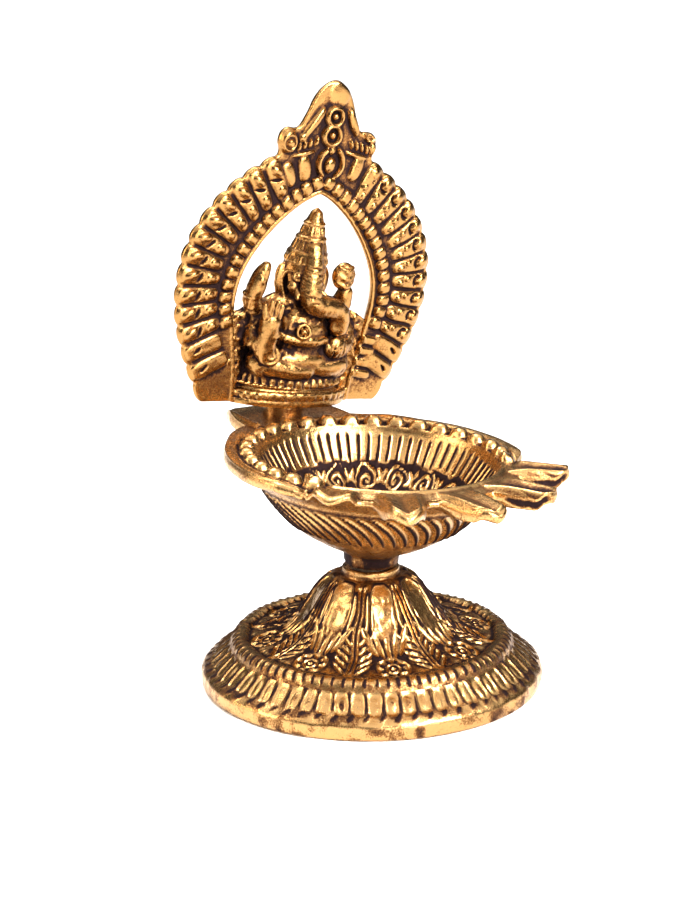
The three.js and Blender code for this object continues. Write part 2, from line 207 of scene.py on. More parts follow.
def surface_net(field, corner, step):
    """The surface where a 3-D field of distances is 0, as points and outward quads."""
    shape = np.array(field.shape) - 1
    total = int(np.prod(shape))
    spots = np.zeros((total, 3))
    hits = np.zeros(total)
    faces = []
    for axis in range(3):
        others = [a for a in range(3) if a != axis]
        head = [slice(None)] * 3
        tail = [slice(None)] * 3
        head[axis] = slice(0, -1)
        tail[axis] = slice(1, None)
        low, high = field[tuple(head)], field[tuple(tail)]
        where = np.argwhere((low < 0) != (high < 0))
        keep = np.all([(where[:, a] > 0) & (where[:, a] < field.shape[a] - 1) for a in others], 0)
        where = where[keep]
        a, b = low[tuple(where.T)], high[tuple(where.T)]
        crossing = where.astype(float)
        crossing[:, axis] += a / (a - b)
        cells = []
        for back in ((0, 0), (1, 0), (1, 1), (0, 1)):
            cell = where.copy()
            cell[:, others[0]] -= back[0]
            cell[:, others[1]] -= back[1]
            flat = np.ravel_multi_index(cell.T, shape)
            cells.append(flat)
            hits += np.bincount(flat, minlength=total)
            for k in range(3):
                spots[:, k] += np.bincount(flat, weights=crossing[:, k], minlength=total)
        quad = np.stack(cells, 1)
        flip = (a < 0) == (axis == 1)
        quad[flip] = quad[flip][:, ::-1]
        faces.append(quad)
    used = np.flatnonzero(hits)
    renumber = np.full(total, -1)
    renumber[used] = np.arange(len(used))
    points = spots[used] / hits[used, None] * step + corner
    return points, renumber[np.vstack(faces)]


def sampled(values, corner, step, points):
    """A 3-D grid's values at the points, between its samples."""
    spot = (points - corner) / step
    cell = np.clip(np.floor(spot).astype(int), 0, np.array(values.shape) - 2)
    return corner_blend(np.clip(spot - cell, 0, 1), lambda at: values[tuple((cell + at).T)])


# ---- helpers: clay
class Clay:
    """A block of space on a 3-D grid that holds the distance to a shape built up in it."""

    def __init__(self, low, high, step):
        self.corner = np.array(low, float)
        self.step = step
        self.axes = [np.arange(a, b + step, step) for a, b in zip(low, high)]
        self.field = np.full([len(a) for a in self.axes], 5.0)

    def press(self, low, high, shape, blend, carve):
        """Joins on, or carves out, the form whose distance shape(points) gives."""
        margin = 1.6
        cuts = tuple(slice(*np.searchsorted(axis, (a - margin, b + margin)))
                     for axis, a, b in zip(self.axes, low, high))
        mesh = np.meshgrid(*[axis[cut] for axis, cut in zip(self.axes, cuts)], indexing="ij")
        far = shape(np.stack(mesh, -1))
        if carve:
            self.field[cuts] = soft_max(self.field[cuts], -far, blend)
        else:
            self.field[cuts] = soft_min(self.field[cuts], far, blend)

    def ball(self, centre, radii, blend=0.4, turn=(0, 0, 0), carve=False):
        """An ellipsoid, turned about X, Y and Z in degrees."""
        centre, radii = np.array(centre, float), np.array(radii, float)
        spin = np.eye(3)
        for axis, degrees in zip("XYZ", turn):
            spin = np.array(Matrix.Rotation(math.radians(degrees), 3, axis)) @ spin

        def shape(p):
            local = (p - centre) @ spin
            near = np.linalg.norm(local / radii, axis=-1)
            steep = np.linalg.norm(local / radii ** 2, axis=-1) + 1e-9
            return near * (near - 1) / steep

        reach = radii.max()
        self.press(centre - reach, centre + reach, shape, blend, carve)

    def limb(self, stations, blend=0.4, steps=9, carve=False):
        """A round limb through stations of [x, y, z, radius]."""
        path = rounded(stations, steps)
        for start, end in zip(path[:-1], path[1:]):
            base, span = start[:3], end[:3] - start[:3]

            def shape(p, base=base, span=span, r0=start[3], r1=end[3]):
                t = np.clip(((p - base) @ span) / (span @ span + 1e-9), 0, 1)
                return np.linalg.norm(p - base - t[..., None] * span, axis=-1) - (r0 + (r1 - r0) * t)

            thick = max(start[3], end[3])
            low = np.minimum(start[:3], end[:3]) - thick
            high = np.maximum(start[:3], end[:3]) + thick
            self.press(low, high, shape, blend if not carve else 0.12, carve)

    def hoop(self, centre, radius, thick, facing, blend=0.25, carve=False):
        """A ring whose axis is facing."""
        centre = np.array(centre, float)
        facing = np.array(facing, float) / np.linalg.norm(facing)

        def shape(p):
            local = p - centre
            height = local @ facing
            flat = np.sqrt(np.maximum((local ** 2).sum(-1) - height ** 2, 0))
            return np.hypot(flat - radius, height) - thick

        self.press(centre - radius - thick, centre + radius + thick, shape, blend, carve)

    def cast(self, roughness, seed):
        """The finished surface: points, quads and how recessed each point is."""
        points, quads = surface_net(self.field, self.corner, self.step)
        solid = np.clip(0.5 - self.field / self.step, 0, 1)
        fine = blurred(solid, 2, ((0, False), (1, False), (2, False)))
        wide = blurred(fine, 4, ((0, False), (1, False), (2, False)))
        near = sampled(fine, self.corner, self.step, points) - 0.5
        around = sampled(wide, self.corner, self.step, points) - 0.5
        recess_and_shade = near * 3.4 + around * 2.0
        outward = np.stack([sampled(g, self.corner, self.step, points)
                            for g in np.gradient(self.field, self.step)], 1)
        outward /= np.linalg.norm(outward, axis=1)[:, None] + 1e-9
        rough = lumps(points, 1.2, seed) * 0.05 + lumps(points, 3.5, seed + 1) * 0.07
        return points + outward * (rough * roughness)[:, None], quads, recess_and_shade


def outline_distance(outline, x, y):
    """Distance to a closed outline, negative inside it."""
    ends = np.roll(outline, -1, 0)
    nearest = np.full(x.shape, 1e9)
    inside = np.zeros(x.shape, bool)
    for (ax, ay), (bx, by) in zip(outline, ends):
        dx, dy = bx - ax, by - ay
        t = np.clip(((x - ax) * dx + (y - ay) * dy) / (dx * dx + dy * dy + 1e-12), 0, 1)
        nearest = np.minimum(nearest, (x - ax - t * dx) ** 2 + (y - ay - t * dy) ** 2)
        if ay != by:
            inside ^= ((ay > y) != (by > y)) & (x < (bx - ax) * (y - ay) / (by - ay) + ax)
    return np.where(inside, -1, 1) * np.sqrt(nearest)


# ---- materials
GOLD = (0.49, 0.285, 0.108)
# A darker copy of the same brass for the arch and figure: painted shade that sets them darker than the base
# and bowl.
SHADED_GOLD = (0.33, 0.174, 0.056)
BROWN = (0.17, 0.073, 0.024)
DARK = (0.024, 0.013, 0.013)


def set_socket(node, **values):
    """Sets a node's sockets by name, with _ for each space."""
    for name, value in values.items():
        node.inputs[name.replace("_", " ")].default_value = value


class Metal:
    """A bare metal material that is built up from nodes."""

    def __init__(self, name):
        self.material = bpy.data.materials.new(name)
        self.material.use_nodes = True
        self.nodes, self.links = self.material.node_tree.nodes, self.material.node_tree.links
        self.shader = self.nodes["Principled BSDF"]
        self.shader.inputs["Metallic"].default_value = 1.0
        self.place = self.nodes.new("ShaderNodeTexCoord").outputs["Object"]

    def noise(self, scale, detail, rough=0.6):
        """Noise from 0 to 1 in the object's own coordinates."""
        node = self.nodes.new("ShaderNodeTexNoise")
        set_socket(node, Scale=scale, Detail=detail, Roughness=rough)
        self.links.new(self.place, node.inputs["Vector"])
        return node.outputs["Fac"]

    def maths(self, kind, a, b, clamp=False):
        """A sum or product of two numbers or outputs."""
        node = self.nodes.new("ShaderNodeMath")
        node.operation = kind
        node.use_clamp = clamp
        for socket, value in zip(node.inputs, (a, b)):
            if isinstance(value, (int, float)):
                socket.default_value = value
            else:
                self.links.new(value, socket)
        return node.outputs[0]

    def swing(self, noise, amount):
        """The noise about 0, amount in all from its lowest to its highest."""
        return self.maths("MULTIPLY", self.maths("SUBTRACT", noise, 0.5), amount)

    def mapped(self, value, full, low, high):
        """low where the value is 0, rising to high where it is full."""
        node = self.nodes.new("ShaderNodeMapRange")
        set_socket(node, From_Min=0.0, From_Max=full, To_Min=low, To_Max=high)
        self.links.new(value, node.inputs["Value"])
        return node.outputs["Result"]

    def colour(self, value, first, last, middle=None):
        """The base colour along the value; each stop is a position and a colour."""
        node = self.nodes.new("ShaderNodeValToRGB")
        stops = node.color_ramp.elements
        for element, (position, colour) in zip(stops, (first, last)):
            element.position, element.color = position, (*colour, 1)
        if middle:
            stops.new(middle[0]).color = (*middle[1], 1)
        self.links.new(value, node.inputs["Fac"])
        self.links.new(node.outputs["Color"], self.shader.inputs["Base Color"])

    def surface(self, roughness, height, strength, distance):
        """The roughness, and a bump of that height."""
        self.links.new(roughness, self.shader.inputs["Roughness"])
        bump = self.nodes.new("ShaderNodeBump")
        set_socket(bump, Strength=strength, Distance=distance)
        self.links.new(height, bump.inputs["Height"])
        self.links.new(bump.outputs["Normal"], self.shader.inputs["Normal"])


def brass_material(name, gold, gloss, grain, shade_shift=0.0):
    """Cast brass: polished high metal, brown flanks and black-brown patina in the recesses; the last argument
    shifts the whole piece towards brown, as painted shade.
    """
    metal = Metal(name)
    recess_and_shade = metal.nodes.new("ShaderNodeAttribute")
    recess_and_shade.attribute_name = "recess_and_shade"
    patch = metal.swing(metal.noise(230.0, 5.0, 0.7), 0.33)
    speck = metal.swing(metal.noise(2600.0, 3.0, 0.75), 1.2)
    depth = metal.maths("MAXIMUM", recess_and_shade.outputs["Fac"], -0.12)
    # Painted shade: the last argument shifts the whole piece towards brown; patch and speck are random
    # mottle.
    depth = metal.maths("ADD", metal.maths("ADD", depth, shade_shift), metal.maths("ADD", patch, speck))
    metal.colour(depth, (0.02, gold), (0.5, DARK), (0.2, BROWN))
    uneven = metal.swing(metal.noise(700.0, 3.0), 0.22)
    rough = metal.maths("ADD", metal.mapped(depth, 0.5, gloss, 0.7), uneven, True)
    pits = metal.maths("ADD", metal.noise(2600.0, 5.0, 0.7),
                       metal.maths("MULTIPLY", metal.noise(620.0, 3.0), 0.8))
    metal.surface(rough, pits, grain, 0.2 * MM)
    return metal.material


def plain_metal(name, colour, rough, scale):
    """Turned steel or brass with fine tool marks, for the hidden fasteners."""
    metal = Metal(name)
    marks = metal.noise(scale, 4.0)
    metal.colour(marks, (0.35, [0.62 * c for c in colour]), (0.6, colour))
    metal.surface(metal.mapped(marks, 1.0, rough - 0.1, rough + 0.15), marks, 0.25, 0.1 * MM)
    return metal.material


# ---- base
BASE_COLUMNS = 704
BASE_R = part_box("base_casting")[1].x / MM
SPLIT_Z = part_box("base_casting")[1].z / MM
LEAVES = 8
LEAF_ANGLE = 360 / LEAVES
ROSETTE_R = 23.9
PLATE_EDGE_R = 27.2
GROOVE_R = 31.5
TONGUE_R = 33.75
COMMA_R = 36.0
DOME_LENGTH = 26.4  # along the bell and the plate, from the collar to the plate's edge
PETALS = 60
RING_DASHES = 84
COMMAS = 66
BOSS_POINTS, BELL_POINTS, PLATE_POINTS, UNDER_POINTS = 12, 46, 21, 20


def base_profile():
    """Boss, collar, bell, rosette plate, rings and band, then back up the inside to the bore."""
    return joined([
        rounded([[6.3, SPLIT_Z], [6.3, 24.9], [6.6, 24.5], [8, 24.65], [8.6, 24.5]], BOSS_POINTS),
        rounded([[8.6, 24.5], [9.2, 24.2], [10.8, 23.3], [12.7, 21.2], [14.4, 18.4],
                 [16.2, 15.8], [18.4, 13.5], [20.8, 11.8]], BELL_POINTS),
        rounded([[20.8, 11.8], [24, 10.8], [PLATE_EDGE_R, 10]], PLATE_POINTS),
        rounded([[PLATE_EDGE_R, 10], [27.6, 10.5], [28.6, 10.9], [29.8, 10.8], [30.7, 10.1],
                 [31.2, 9.2], [GROOVE_R, 8.5]], 14),
        rounded([[GROOVE_R, 8.5], [32.1, 8.1], [34.2, 6.3], [35.3, 5.2]], 14),
        rounded([[35.3, 5.2], [36, 4.7], [37.2, 3.9], [37.9, 3.2], [BASE_R, 2.6], [BASE_R, 0.5],
                 [BASE_R - 0.3, 0]], 16),
        rounded([[BASE_R - 0.3, 0], [35.2, 0], [35, 0.4], [34.6, 1.8], [28, 6.6], [18.4, 9],
                 [14.4, 12.6], [11.6, 16.6], [8.4, 19], [3.6, 19], [3.5, 19.4],
                 [3.5, SPLIT_Z - 0.2], [3.7, SPLIT_Z]], UNDER_POINTS),
    ])


def leaf_relief(side, along):
    """Half of an acanthus leaf; side is mm from its midrib, along is mm down from the collar."""
    out = np.abs(side)
    height = 0.55 * ridge(out - 0.5, 0.42) * band(0.8, 23.2, along, 0.6)
    for k in range(4):
        tall = pad(*turned_to(out, along, 1.75 + 1.35 * k, 7.2 + 0.9 * k, -6 - 3.5 * k),
                   0.62 + 0.06 * k, 4.6 - 0.35 * k)
        height = np.maximum(height, (0.62 - 0.04 * k) * tall)
    for k in range(5):
        near = turned_to(out, along, 1.7 + 0.1 * k, 13.4 + 2.1 * k, 33)
        far = turned_to(out, along, 3.5 - 0.12 * k, 12.4 + 2.1 * k, 30)
        height = np.maximum(height, 0.62 * pad(*near, 0.62, 1.7))
        height = np.maximum(height, 0.55 * pad(*far, 0.55, 1.3))
    tip = pad(*turned_to(out, along, 0, 23.6, 0), 1.25, 1.9)
    return np.maximum(height, 0.5 * tip)


def bulge_relief(side, along):
    """The smooth swelling between two leaves, which ends in hanging tips; side is mm from its middle."""
    height = 0.95 * pad(side, along - 7.4, 3.1, 8.2, 2.0)
    for k in range(-2, 3):
        tip = pad(*turned_to(side, along, 1.9 * k, 14.6 - 0.6 * abs(k), 9 * k), 0.95, 3.9)
        height = np.maximum(height, 0.85 * tip)
    return height


def rosette_relief(side, along, middle):
    """A small flower: a boss, a ring and eight petals."""
    side, y = side / 1.2, (along - middle) / 1.2
    r, angle = np.hypot(side, y), np.arctan2(y, side)
    petals = 0.5 * (1 + np.cos(8 * angle)) * ridge(r - 2.45, 0.85)
    height = 0.55 * np.clip(petals + 0.55 * ring(side, y, 2.9, 0.45), 0, 1)
    height = np.maximum(height, 0.55 * ring(side, y, 1.25, 0.4))
    return np.maximum(height, 0.6 * pad(side, y, 0.55, 0.55))


def dome_relief(plain, angle, r, along, rosette_at):
    """Leaves, bulges and rosettes on the bell and its plate; along is mm down from the collar."""
    down = along + lumps(plain, 4.0, 12) * 0.35
    leaf_side = np.radians((angle + LEAF_ANGLE / 2) % LEAF_ANGLE - LEAF_ANGLE / 2) * r
    gap_side = np.radians(angle % LEAF_ANGLE - LEAF_ANGLE / 2) * r
    height = highest(1.3 * leaf_relief(leaf_side, down), bulge_relief(gap_side, down),
                     1.3 * rosette_relief(gap_side, down, rosette_at))
    return (height + 0.16 * np.abs(lumps(plain, 1.3, 13))) * band(-0.3, DOME_LENGTH, down, 0.4)


def rings_relief(plain, angle, r, z, groove):
    """Dashes round the torus, hollowed tongues, a groove at the plate's edge and a row of commas."""
    def side_of(count, twist=0):
        """Where each angle is between two of count motifs, from -0.5 to 0.5."""
        return (angle / 360 * count + twist) % 1 - 0.5

    dash = ridge(side_of(RING_DASHES), 0.2)
    height = -0.24 * dash * band(29.6, 31.1, r, 0.25) - 0.16 * dash * band(27.4, 28.1, r, 0.2)
    tongue_side = side_of(PETALS) * 2 * math.pi * r / PETALS
    tongue = pad(tongue_side, r - TONGUE_R, 1.55, 2.2, 3.0)
    hollow = pad(tongue_side, r - TONGUE_R - 0.35, 0.8, 1.6, 2.4) * (0.6 + 0.5 * lumps(plain, 3.0, 16))
    height = height + (0.42 * tongue - 0.36 * hollow) * band(31.6, 35.9, r, 0.15)
    comma_side = side_of(COMMAS, 0.18 * (r - COMMA_R)) * 2 * math.pi * r / COMMAS
    comma = pad(comma_side, r - COMMA_R - 0.35, 0.62 + 0.25 * (r - COMMA_R - 0.3), 0.95)
    return height - 0.22 * groove - 0.19 * comma * (z > 3) + 0.13 * lumps(plain, 2.0, 15)


def build_base():
    """The base casting, from the bore's top round the outside and back up the inside."""
    profile = base_profile()
    r, z = profile[:, :1], profile[:, 1:]
    step = np.gradient(profile, axis=0)
    normal = np.stack([-step[:, 1], step[:, 0]], 1)
    normal /= -np.linalg.norm(normal, axis=1)[:, None]
    along = np.r_[0, np.cumsum(np.linalg.norm(np.diff(profile, axis=0), axis=1))][:, None]
    along = along - along[BOSS_POINTS - 1]
    outside = (np.arange(len(profile)) < len(profile) - UNDER_POINTS)[:, None]
    theta, plain = turned(profile, BASE_COLUMNS)

    angle = np.degrees(theta) + 90 + np.degrees(0.4 * lumps(plain, 5.0, 11) / np.maximum(r, 9))
    dome = slice(BOSS_POINTS - 1, BOSS_POINTS + BELL_POINTS + PLATE_POINTS - 2)
    rosette_at = float(np.interp(ROSETTE_R, profile[dome, 0], along[dome, 0]))
    groove = ridge(r - PLATE_EDGE_R + 0.2, 0.55) * outside
    height = dome_relief(plain, angle, r, along, rosette_at) + 0.14 * lumps(plain, 6.0, 14)
    height = height + rings_relief(plain, angle, r, z, groove) * outside
    height[-UNDER_POINTS:] *= 0.3
    height[0] = height[-1] = 0

    local = blurred(height, 4, ((0, False), (1, True)))
    # The bottom band, below 2.7 mm, is made a little darker.
    recess_and_shade = np.clip((local - height) * 3.4 + 0.12 * groove + 0.05 * (z < 2.7), -1, 1)
    # Painted shade: the boss is darkened where the bowl's neck stands over it.
    shade_under_bowl = outside * (z < SPLIT_Z - 0.9) * (r < 6.6)
    points = plain + height[..., None] * np.stack(
        np.broadcast_arrays(normal[:, :1] * np.cos(theta), normal[:, :1] * np.sin(theta), normal[:, 1:]), -1)
    points[..., 2] = np.clip(points[..., 2], 0, SPLIT_Z)
    new_piece("base_relief", points.reshape(-1, 3), wrapped_quads(len(profile), BASE_COLUMNS, True),
              (recess_and_shade + 0.25 * shade_under_bowl).reshape(-1), "base_casting", "base",
              brass_material("base_brass", GOLD, 0.23, 0.3))


# ---- bowl
BOWL_LEAN = 3.85  # degrees
BOWL_LEAN_TOWARDS = -33  # degrees round from +X
BOWL_COLUMNS = 640
NECK_R = 6.1
NECK_FOOT_Z = SPLIT_Z + 0.3 + NECK_R * math.sin(math.radians(BOWL_LEAN))
FLOOR_Z = 34.0
RIM_Z = 51.5
MOUTH_R = 26.8
VALLEY_R = 31.5
LOBE_R = 33.8
SPOUT_STEP = 25.5
SPOUT_TIPS = (42, 43.5, 45.5, 44, 35.5)  # radius of each spout's tip, from the right round to the left
SPOUT_ROOT_HALF = 5.2
SPOUT_TIP_HALF = (3.3, 3.3, 3.6, 4.0, 5.2)
SPOUT_SOFTNESS = (0, 0, 0.45, 0.8, 1)  # the left spouts are worn to smooth bumps
SPOUT_THICK = 3.0
TAB_BACK_Y = 46
TAB_BACK_HALF = 12.3
TAB_ROOT_HALF = 14.3
TAB_ROOT_Y = 32.4
TAB_BOSS_R = 4.6
TAB_BOSS_FOOT = -7.0  # measured down the arch's screw
TAB_BOSS_COLUMNS = 72
RIM_BEADS = 23
BEAD_STEP = 10.7
BEAD_RING_R = 28.7
BEADS_OUTER_R = 31.1
FLANGE_ROWS = 14  # from the mouth to the beads' outer side, and again from there to the edge
EDGE_ROWS = 9
SERRATION_STEP = 0.95
SLITS = 66
SLIT_BAND = (43.9, 48.9)  # heights
GADROONS = 50
# each ring of the floor's pattern: curls, radius, a curl's radius and its pitch
FLOOR_RINGS = ((18, 19.4, 2.7, 1.35), (12, 13.6, 2.7, 1.4), (6, 7, 2.5, 1.4))


def bowl_place(points):
    """From the bowl's own upright frame to the row frame."""
    towards = math.radians(BOWL_LEAN_TOWARDS)
    axis = Vector((-math.sin(towards), math.cos(towards), 0))
    turn = np.array(Matrix.Rotation(math.radians(BOWL_LEAN), 3, axis))
    seat = np.array([0, 0, SPLIT_Z])
    return (np.asarray(points, float) - seat) @ turn.T + seat


def plain_rim(turn):
    """The rim's radius without spouts, at an angle in degrees from the front."""
    turn = np.abs(turn)
    back = 180 - turn
    corner = math.degrees(math.atan2(TAB_BACK_HALF, TAB_BACK_Y))
    root = math.degrees(math.atan2(TAB_ROOT_HALF, TAB_ROOT_Y))
    corner_r = math.hypot(TAB_BACK_HALF, TAB_BACK_Y)
    root_r = math.hypot(TAB_ROOT_HALF, TAB_ROOT_Y)
    lobe = LOBE_R + (root_r - LOBE_R) * smoothstep(125, 180 - root, turn)
    side = VALLEY_R + (lobe - VALLEY_R) * smoothstep(63, 74, turn)
    tab_side = np.interp(back, [corner, root], [corner_r, root_r])
    end = TAB_BACK_Y / np.cos(np.radians(np.minimum(back, corner)))
    shape = np.where(back <= corner, end, np.where(back < root, tab_side, side))
    return shape - 1.5 * np.exp(-((back - corner) / 2.4) ** 2)


def spout_angle(index):
    """Degrees from the front, positive to the right."""
    return (2 - index) * SPOUT_STEP


def rim_radius(turn):
    """The rim's radius with its spouts."""
    rim = plain_rim(turn)
    root = MOUTH_R + 0.5
    for index, tip in enumerate(SPOUT_TIPS):
        off = np.radians(np.clip(np.abs(turn - spout_angle(index)), 0, 60))
        half = SPOUT_TIP_HALF[index]
        slope = (half - SPOUT_ROOT_HALF) / (tip - root)
        reach = (SPOUT_ROOT_HALF - slope * root) / (np.tan(off) - slope)
        side = np.tan(off) * tip / (half * 1.2)
        end = tip - 4.2 * (1 - np.sqrt(1 - np.clip(side, 0, 1) ** 2)) - 8 * np.clip(side - 1, 0, 9)
        reach = soft_min(reach, end, 0.8)
        bell = 0.5 * (1 + np.cos(np.clip(np.degrees(off) / (SPOUT_STEP / 2), 0, 1) * math.pi)) ** 0.85
        bell = (VALLEY_R + (tip - VALLEY_R) * bell) * np.cos(off)
        reach = reach + (bell - reach) * SPOUT_SOFTNESS[index]
        rim = soft_max(rim, reach / np.cos(off), 0.7)
    return rim


def column_angles():
    """Angles in degrees that step evenly along the rim's outline, so that spouts get their share."""
    fine = np.linspace(-180, 180, 20001)
    r = rim_radius(fine)
    x, y = r * np.sin(np.radians(fine)), r * np.cos(np.radians(fine))
    path = np.r_[0, np.cumsum(np.hypot(np.diff(x), np.diff(y)))]
    path = path / path[-1] * 0.6 + (fine + 180) / 360 * 0.4
    return np.interp(np.arange(BOWL_COLUMNS) / BOWL_COLUMNS, path, fine)


def spout_fields(turn, r):
    """For the point at that angle and radius: how far it is inside a spout, and where across it."""
    inside = np.zeros(np.broadcast(turn, r).shape)
    across = np.full(inside.shape, 9.0)
    out = np.zeros(inside.shape)
    for index, tip in enumerate(SPOUT_TIPS):
        off = np.radians(turn - spout_angle(index))
        x, y = r * np.sin(off), r * np.cos(off)
        half = np.interp(y, [MOUTH_R + 0.5, tip], [SPOUT_ROOT_HALF, SPOUT_TIP_HALF[index]])
        here = (np.abs(off) < math.radians(SPOUT_STEP / 2))
        share = np.clip(1 - np.abs(x) / half, 0, 1) * here
        inside = np.maximum(inside, share)
        across = np.where(here & (np.abs(x) < half * 1.4), x / half, across)
        out = np.where(here, (y - MOUTH_R) / (tip - MOUTH_R), out)
    return inside, across, np.clip(out, 0, 1)


def spouted(turn):
    """1 along the front of the rim, where the spouts are, falling to 0 past it."""
    return 1 - smoothstep(60, 74, np.abs(turn))


def bead_row(turn, r):
    """The rim's beads and the trough that they stand in."""
    arc = (RIM_BEADS - 1) / 2
    from_back = (turn % 360) - 180
    number = np.clip(np.round(from_back / BEAD_STEP), -arc, arc)
    bead_x = np.radians(from_back - number * BEAD_STEP) * r
    bead = pad(bead_x, r - BEAD_RING_R, 2.25, 1.9, 2.4)
    trough = np.clip(1 - ((r - BEAD_RING_R) / 2.3) ** 4, 0, 1)
    row = 1 - smoothstep(arc * BEAD_STEP + 4, arc * BEAD_STEP + 9, np.abs(from_back))
    return (2.3 * bead - 0.85 * trough) * row


def rim_top(turn, r, rim):
    """Height of the rim's top face."""
    inside, across, out = spout_fields(turn, r)
    on_spout = smoothstep(0.0, 0.25, inside) * smoothstep(27.5, 31, r)
    edge_rise = 0.4 * ridge(np.abs(across) - 0.6, 0.55) * smoothstep(0.1, 0.45, out)
    groove = 0.4 * ridge(across, 0.6) * smoothstep(28, 31, r) * (1 - smoothstep(0.88, 0.97, out))
    lip = 0.45 * smoothstep(0.9, 1.0, out)
    z = RIM_Z + on_spout * (0.25 + edge_rise - groove + lip)
    z = z - 0.9 * (1 - smoothstep(0, 0.3, inside)) * spouted(turn) * smoothstep(27.5, rim, r)
    valley_lip = 0.5 * spouted(turn) * (1 - on_spout) * ridge(r - MOUTH_R - 0.9, 0.9)
    side = smoothstep(66, 76, np.abs(turn)) * (1 - smoothstep(140, 152, np.abs(turn)))
    side_lip = 0.55 * side * ridge(r - rim + 1.5, 1.7)
    left_edge = ridge(r * np.sin(np.radians(turn)) + TAB_ROOT_HALF - 1.6, 1.3)
    tab_lip = 0.9 * left_edge * (np.abs(turn) > 150) * (r > 32)
    return z + valley_lip + side_lip + tab_lip + bead_row(turn, r)


def tab_boss():
    """The turned boss round the arch's screw, above and below the tab."""
    profile = joined([
        rounded([[1.7, -0.3], [TAB_BOSS_R - 0.4, -0.3], [TAB_BOSS_R, -0.7]], 9),
        rounded([[TAB_BOSS_R, -0.7], [TAB_BOSS_R, TAB_BOSS_FOOT + 0.4],
                 [TAB_BOSS_R - 0.4, TAB_BOSS_FOOT], [1.7, TAB_BOSS_FOOT]], 24),
    ])
    points = turned(profile, TAB_BOSS_COLUMNS)[1].reshape(-1, 3)
    recess_and_shade = 0.12 + 0.12 * lumps(points, 1.5, 34)
    return arch_place(points), wrapped_quads(len(profile), TAB_BOSS_COLUMNS, True), recess_and_shade


def bowl_profiles():
    """The inside, from the middle of the floor up to the mouth, and the outside, down to the bore."""
    inside = joined([
        rounded([[0.02, FLOOR_Z], [9, FLOOR_Z + 0.6], [13, 35.7], [16.6, 37.8], [19.8, 40.4],
                 [21.7, 42.6]], 48),
        rounded([[21.7, 42.6], [23.6, 45.4], [25.2, 47.8], [25.9, 49.1]], 15),
        rounded([[25.9, 49.1], [26.4, 50], [MOUTH_R - 0.25, RIM_Z - 0.9]], 4),
    ])
    wall = joined([
        rounded([[28.3, 47.6], [27.2, 46.8], [26.1, 45.2]], 5),
        rounded([[26.1, 45.2], [24.6, 43], [20.9, 38.6], [16.4, 34.8]], 22),
        rounded([[16.4, 34.8], [11.4, 32], [7.6, 30.6], [6.4, 29.8], [NECK_R, 28.6],
                 [NECK_R, NECK_FOOT_Z + 0.3], [NECK_R - 0.4, NECK_FOOT_Z]], 17),
        rounded([[NECK_R - 0.4, NECK_FOOT_Z], [3, NECK_FOOT_Z], [2.8, NECK_FOOT_Z + 0.3],
                 [2.8, 31.8], [0.02, 31.9]], 6, 1),
    ])
    return inside, wall


def bowl_edge(angles, rim, rolled, inset):
    """Rows round the rim's edge: radius, height, and how deep the spouts' serrated flanks are cut."""
    _, _, out = spout_fields(angles, rim)
    turn = np.abs(angles)
    thick = 3.0 - 0.9 * spouted(turn)
    thick = thick + (SPOUT_THICK - thick) * smoothstep(33.5, 38, rim) * (turn < 70)
    flank = smoothstep(33.5, 36.5, rim) * (1 - smoothstep(0.93, 0.99, out)) * (turn < 66)
    spread = np.linspace(0, 1, EDGE_ROWS)[:, None]
    x, y = rim[0] * np.sin(np.radians(angles[0])), rim[0] * np.cos(np.radians(angles[0]))
    run = np.r_[0, np.cumsum(np.hypot(np.diff(x), np.diff(y)))][None, :]
    serration = np.sin(run * 2 * math.pi / SERRATION_STEP)
    cut = flank * smoothstep(8, 16, angles)
    cut = cut * smoothstep(0.18, 0.34, spread) * (1 - smoothstep(0.66, 0.82, spread))
    edge_r = rim - inset + (inset + 0.05) * np.sin(spread * math.pi) - cut * (0.75 + 0.3 * serration)
    drop = rolled * 0.5 * (1 - np.cos(spread * math.pi)) + (1 - rolled) * spread
    return edge_r, rim_top(angles, rim - inset, rim) - 0.2 - (thick - 0.5) * drop, cut


def bowl_rows(angles):
    """The bowl's rows of radius and height, which rows are which stretch, and the flanks' cut."""
    rim = rim_radius(angles)
    level = np.ones_like(angles)
    inside, wall = bowl_profiles()
    rolled = (1 - smoothstep(4, 12, angles)) * (1 - smoothstep(70, 84, np.abs(angles)))
    inset = 0.35 + 0.85 * rolled
    share = np.linspace(0, 1, FLANGE_ROWS)[:, None]
    flange_r = np.vstack([MOUTH_R + (BEADS_OUTER_R - MOUTH_R) * share * level,
                          BEADS_OUTER_R + (rim - inset - BEADS_OUTER_R) * share[1:]])
    edge_r, edge_z, cut = bowl_edge(angles, rim, rolled, inset)
    under = np.linspace(0, 1, 6)[1:-1, None]
    web = 0.52 * np.sin(under * math.pi) * smoothstep(33, 38, rim)
    stretches = {
        "inside": (inside[:, :1] * level, inside[:, 1:] * level),
        "flange": (flange_r, rim_top(angles, flange_r, rim)),
        "edge": (edge_r, edge_z),
        "under": (edge_r[-1:] + (28.6 - edge_r[-1:]) * under ** 0.9,
                  edge_z[-1:] + (47.9 - edge_z[-1:]) * under ** 1.4 - web),
        "wall": (wall[:, :1] * level, wall[:, 1:] * level),
    }
    r, z = [np.vstack(rows) for rows in zip(*stretches.values())]
    names = np.concatenate([[name] * len(rows[0]) for name, rows in stretches.items()])
    on = {name: (names == name)[:, None] for name in stretches}
    cuts = np.zeros_like(r)
    cuts[names == "edge"] = cut
    return r, z, on, cuts


def wall_slits(turn):
    """The cuts up the bowl's inner wall, 1 along the middle of each."""
    return ridge((turn / 360 * SLITS) % 1 - 0.5, 0.17)


def slits_relief(turn, z):
    """The slits, each with ends of its own."""
    jitter = 0.7 * lumps(np.stack([np.round(turn / 360 * SLITS) * 9.0] * 3, -1), 5.0, 22)
    low, high = SLIT_BAND
    return -0.6 * wall_slits(turn) * band(low + jitter, high + 0.4 * jitter, z, 0.4)


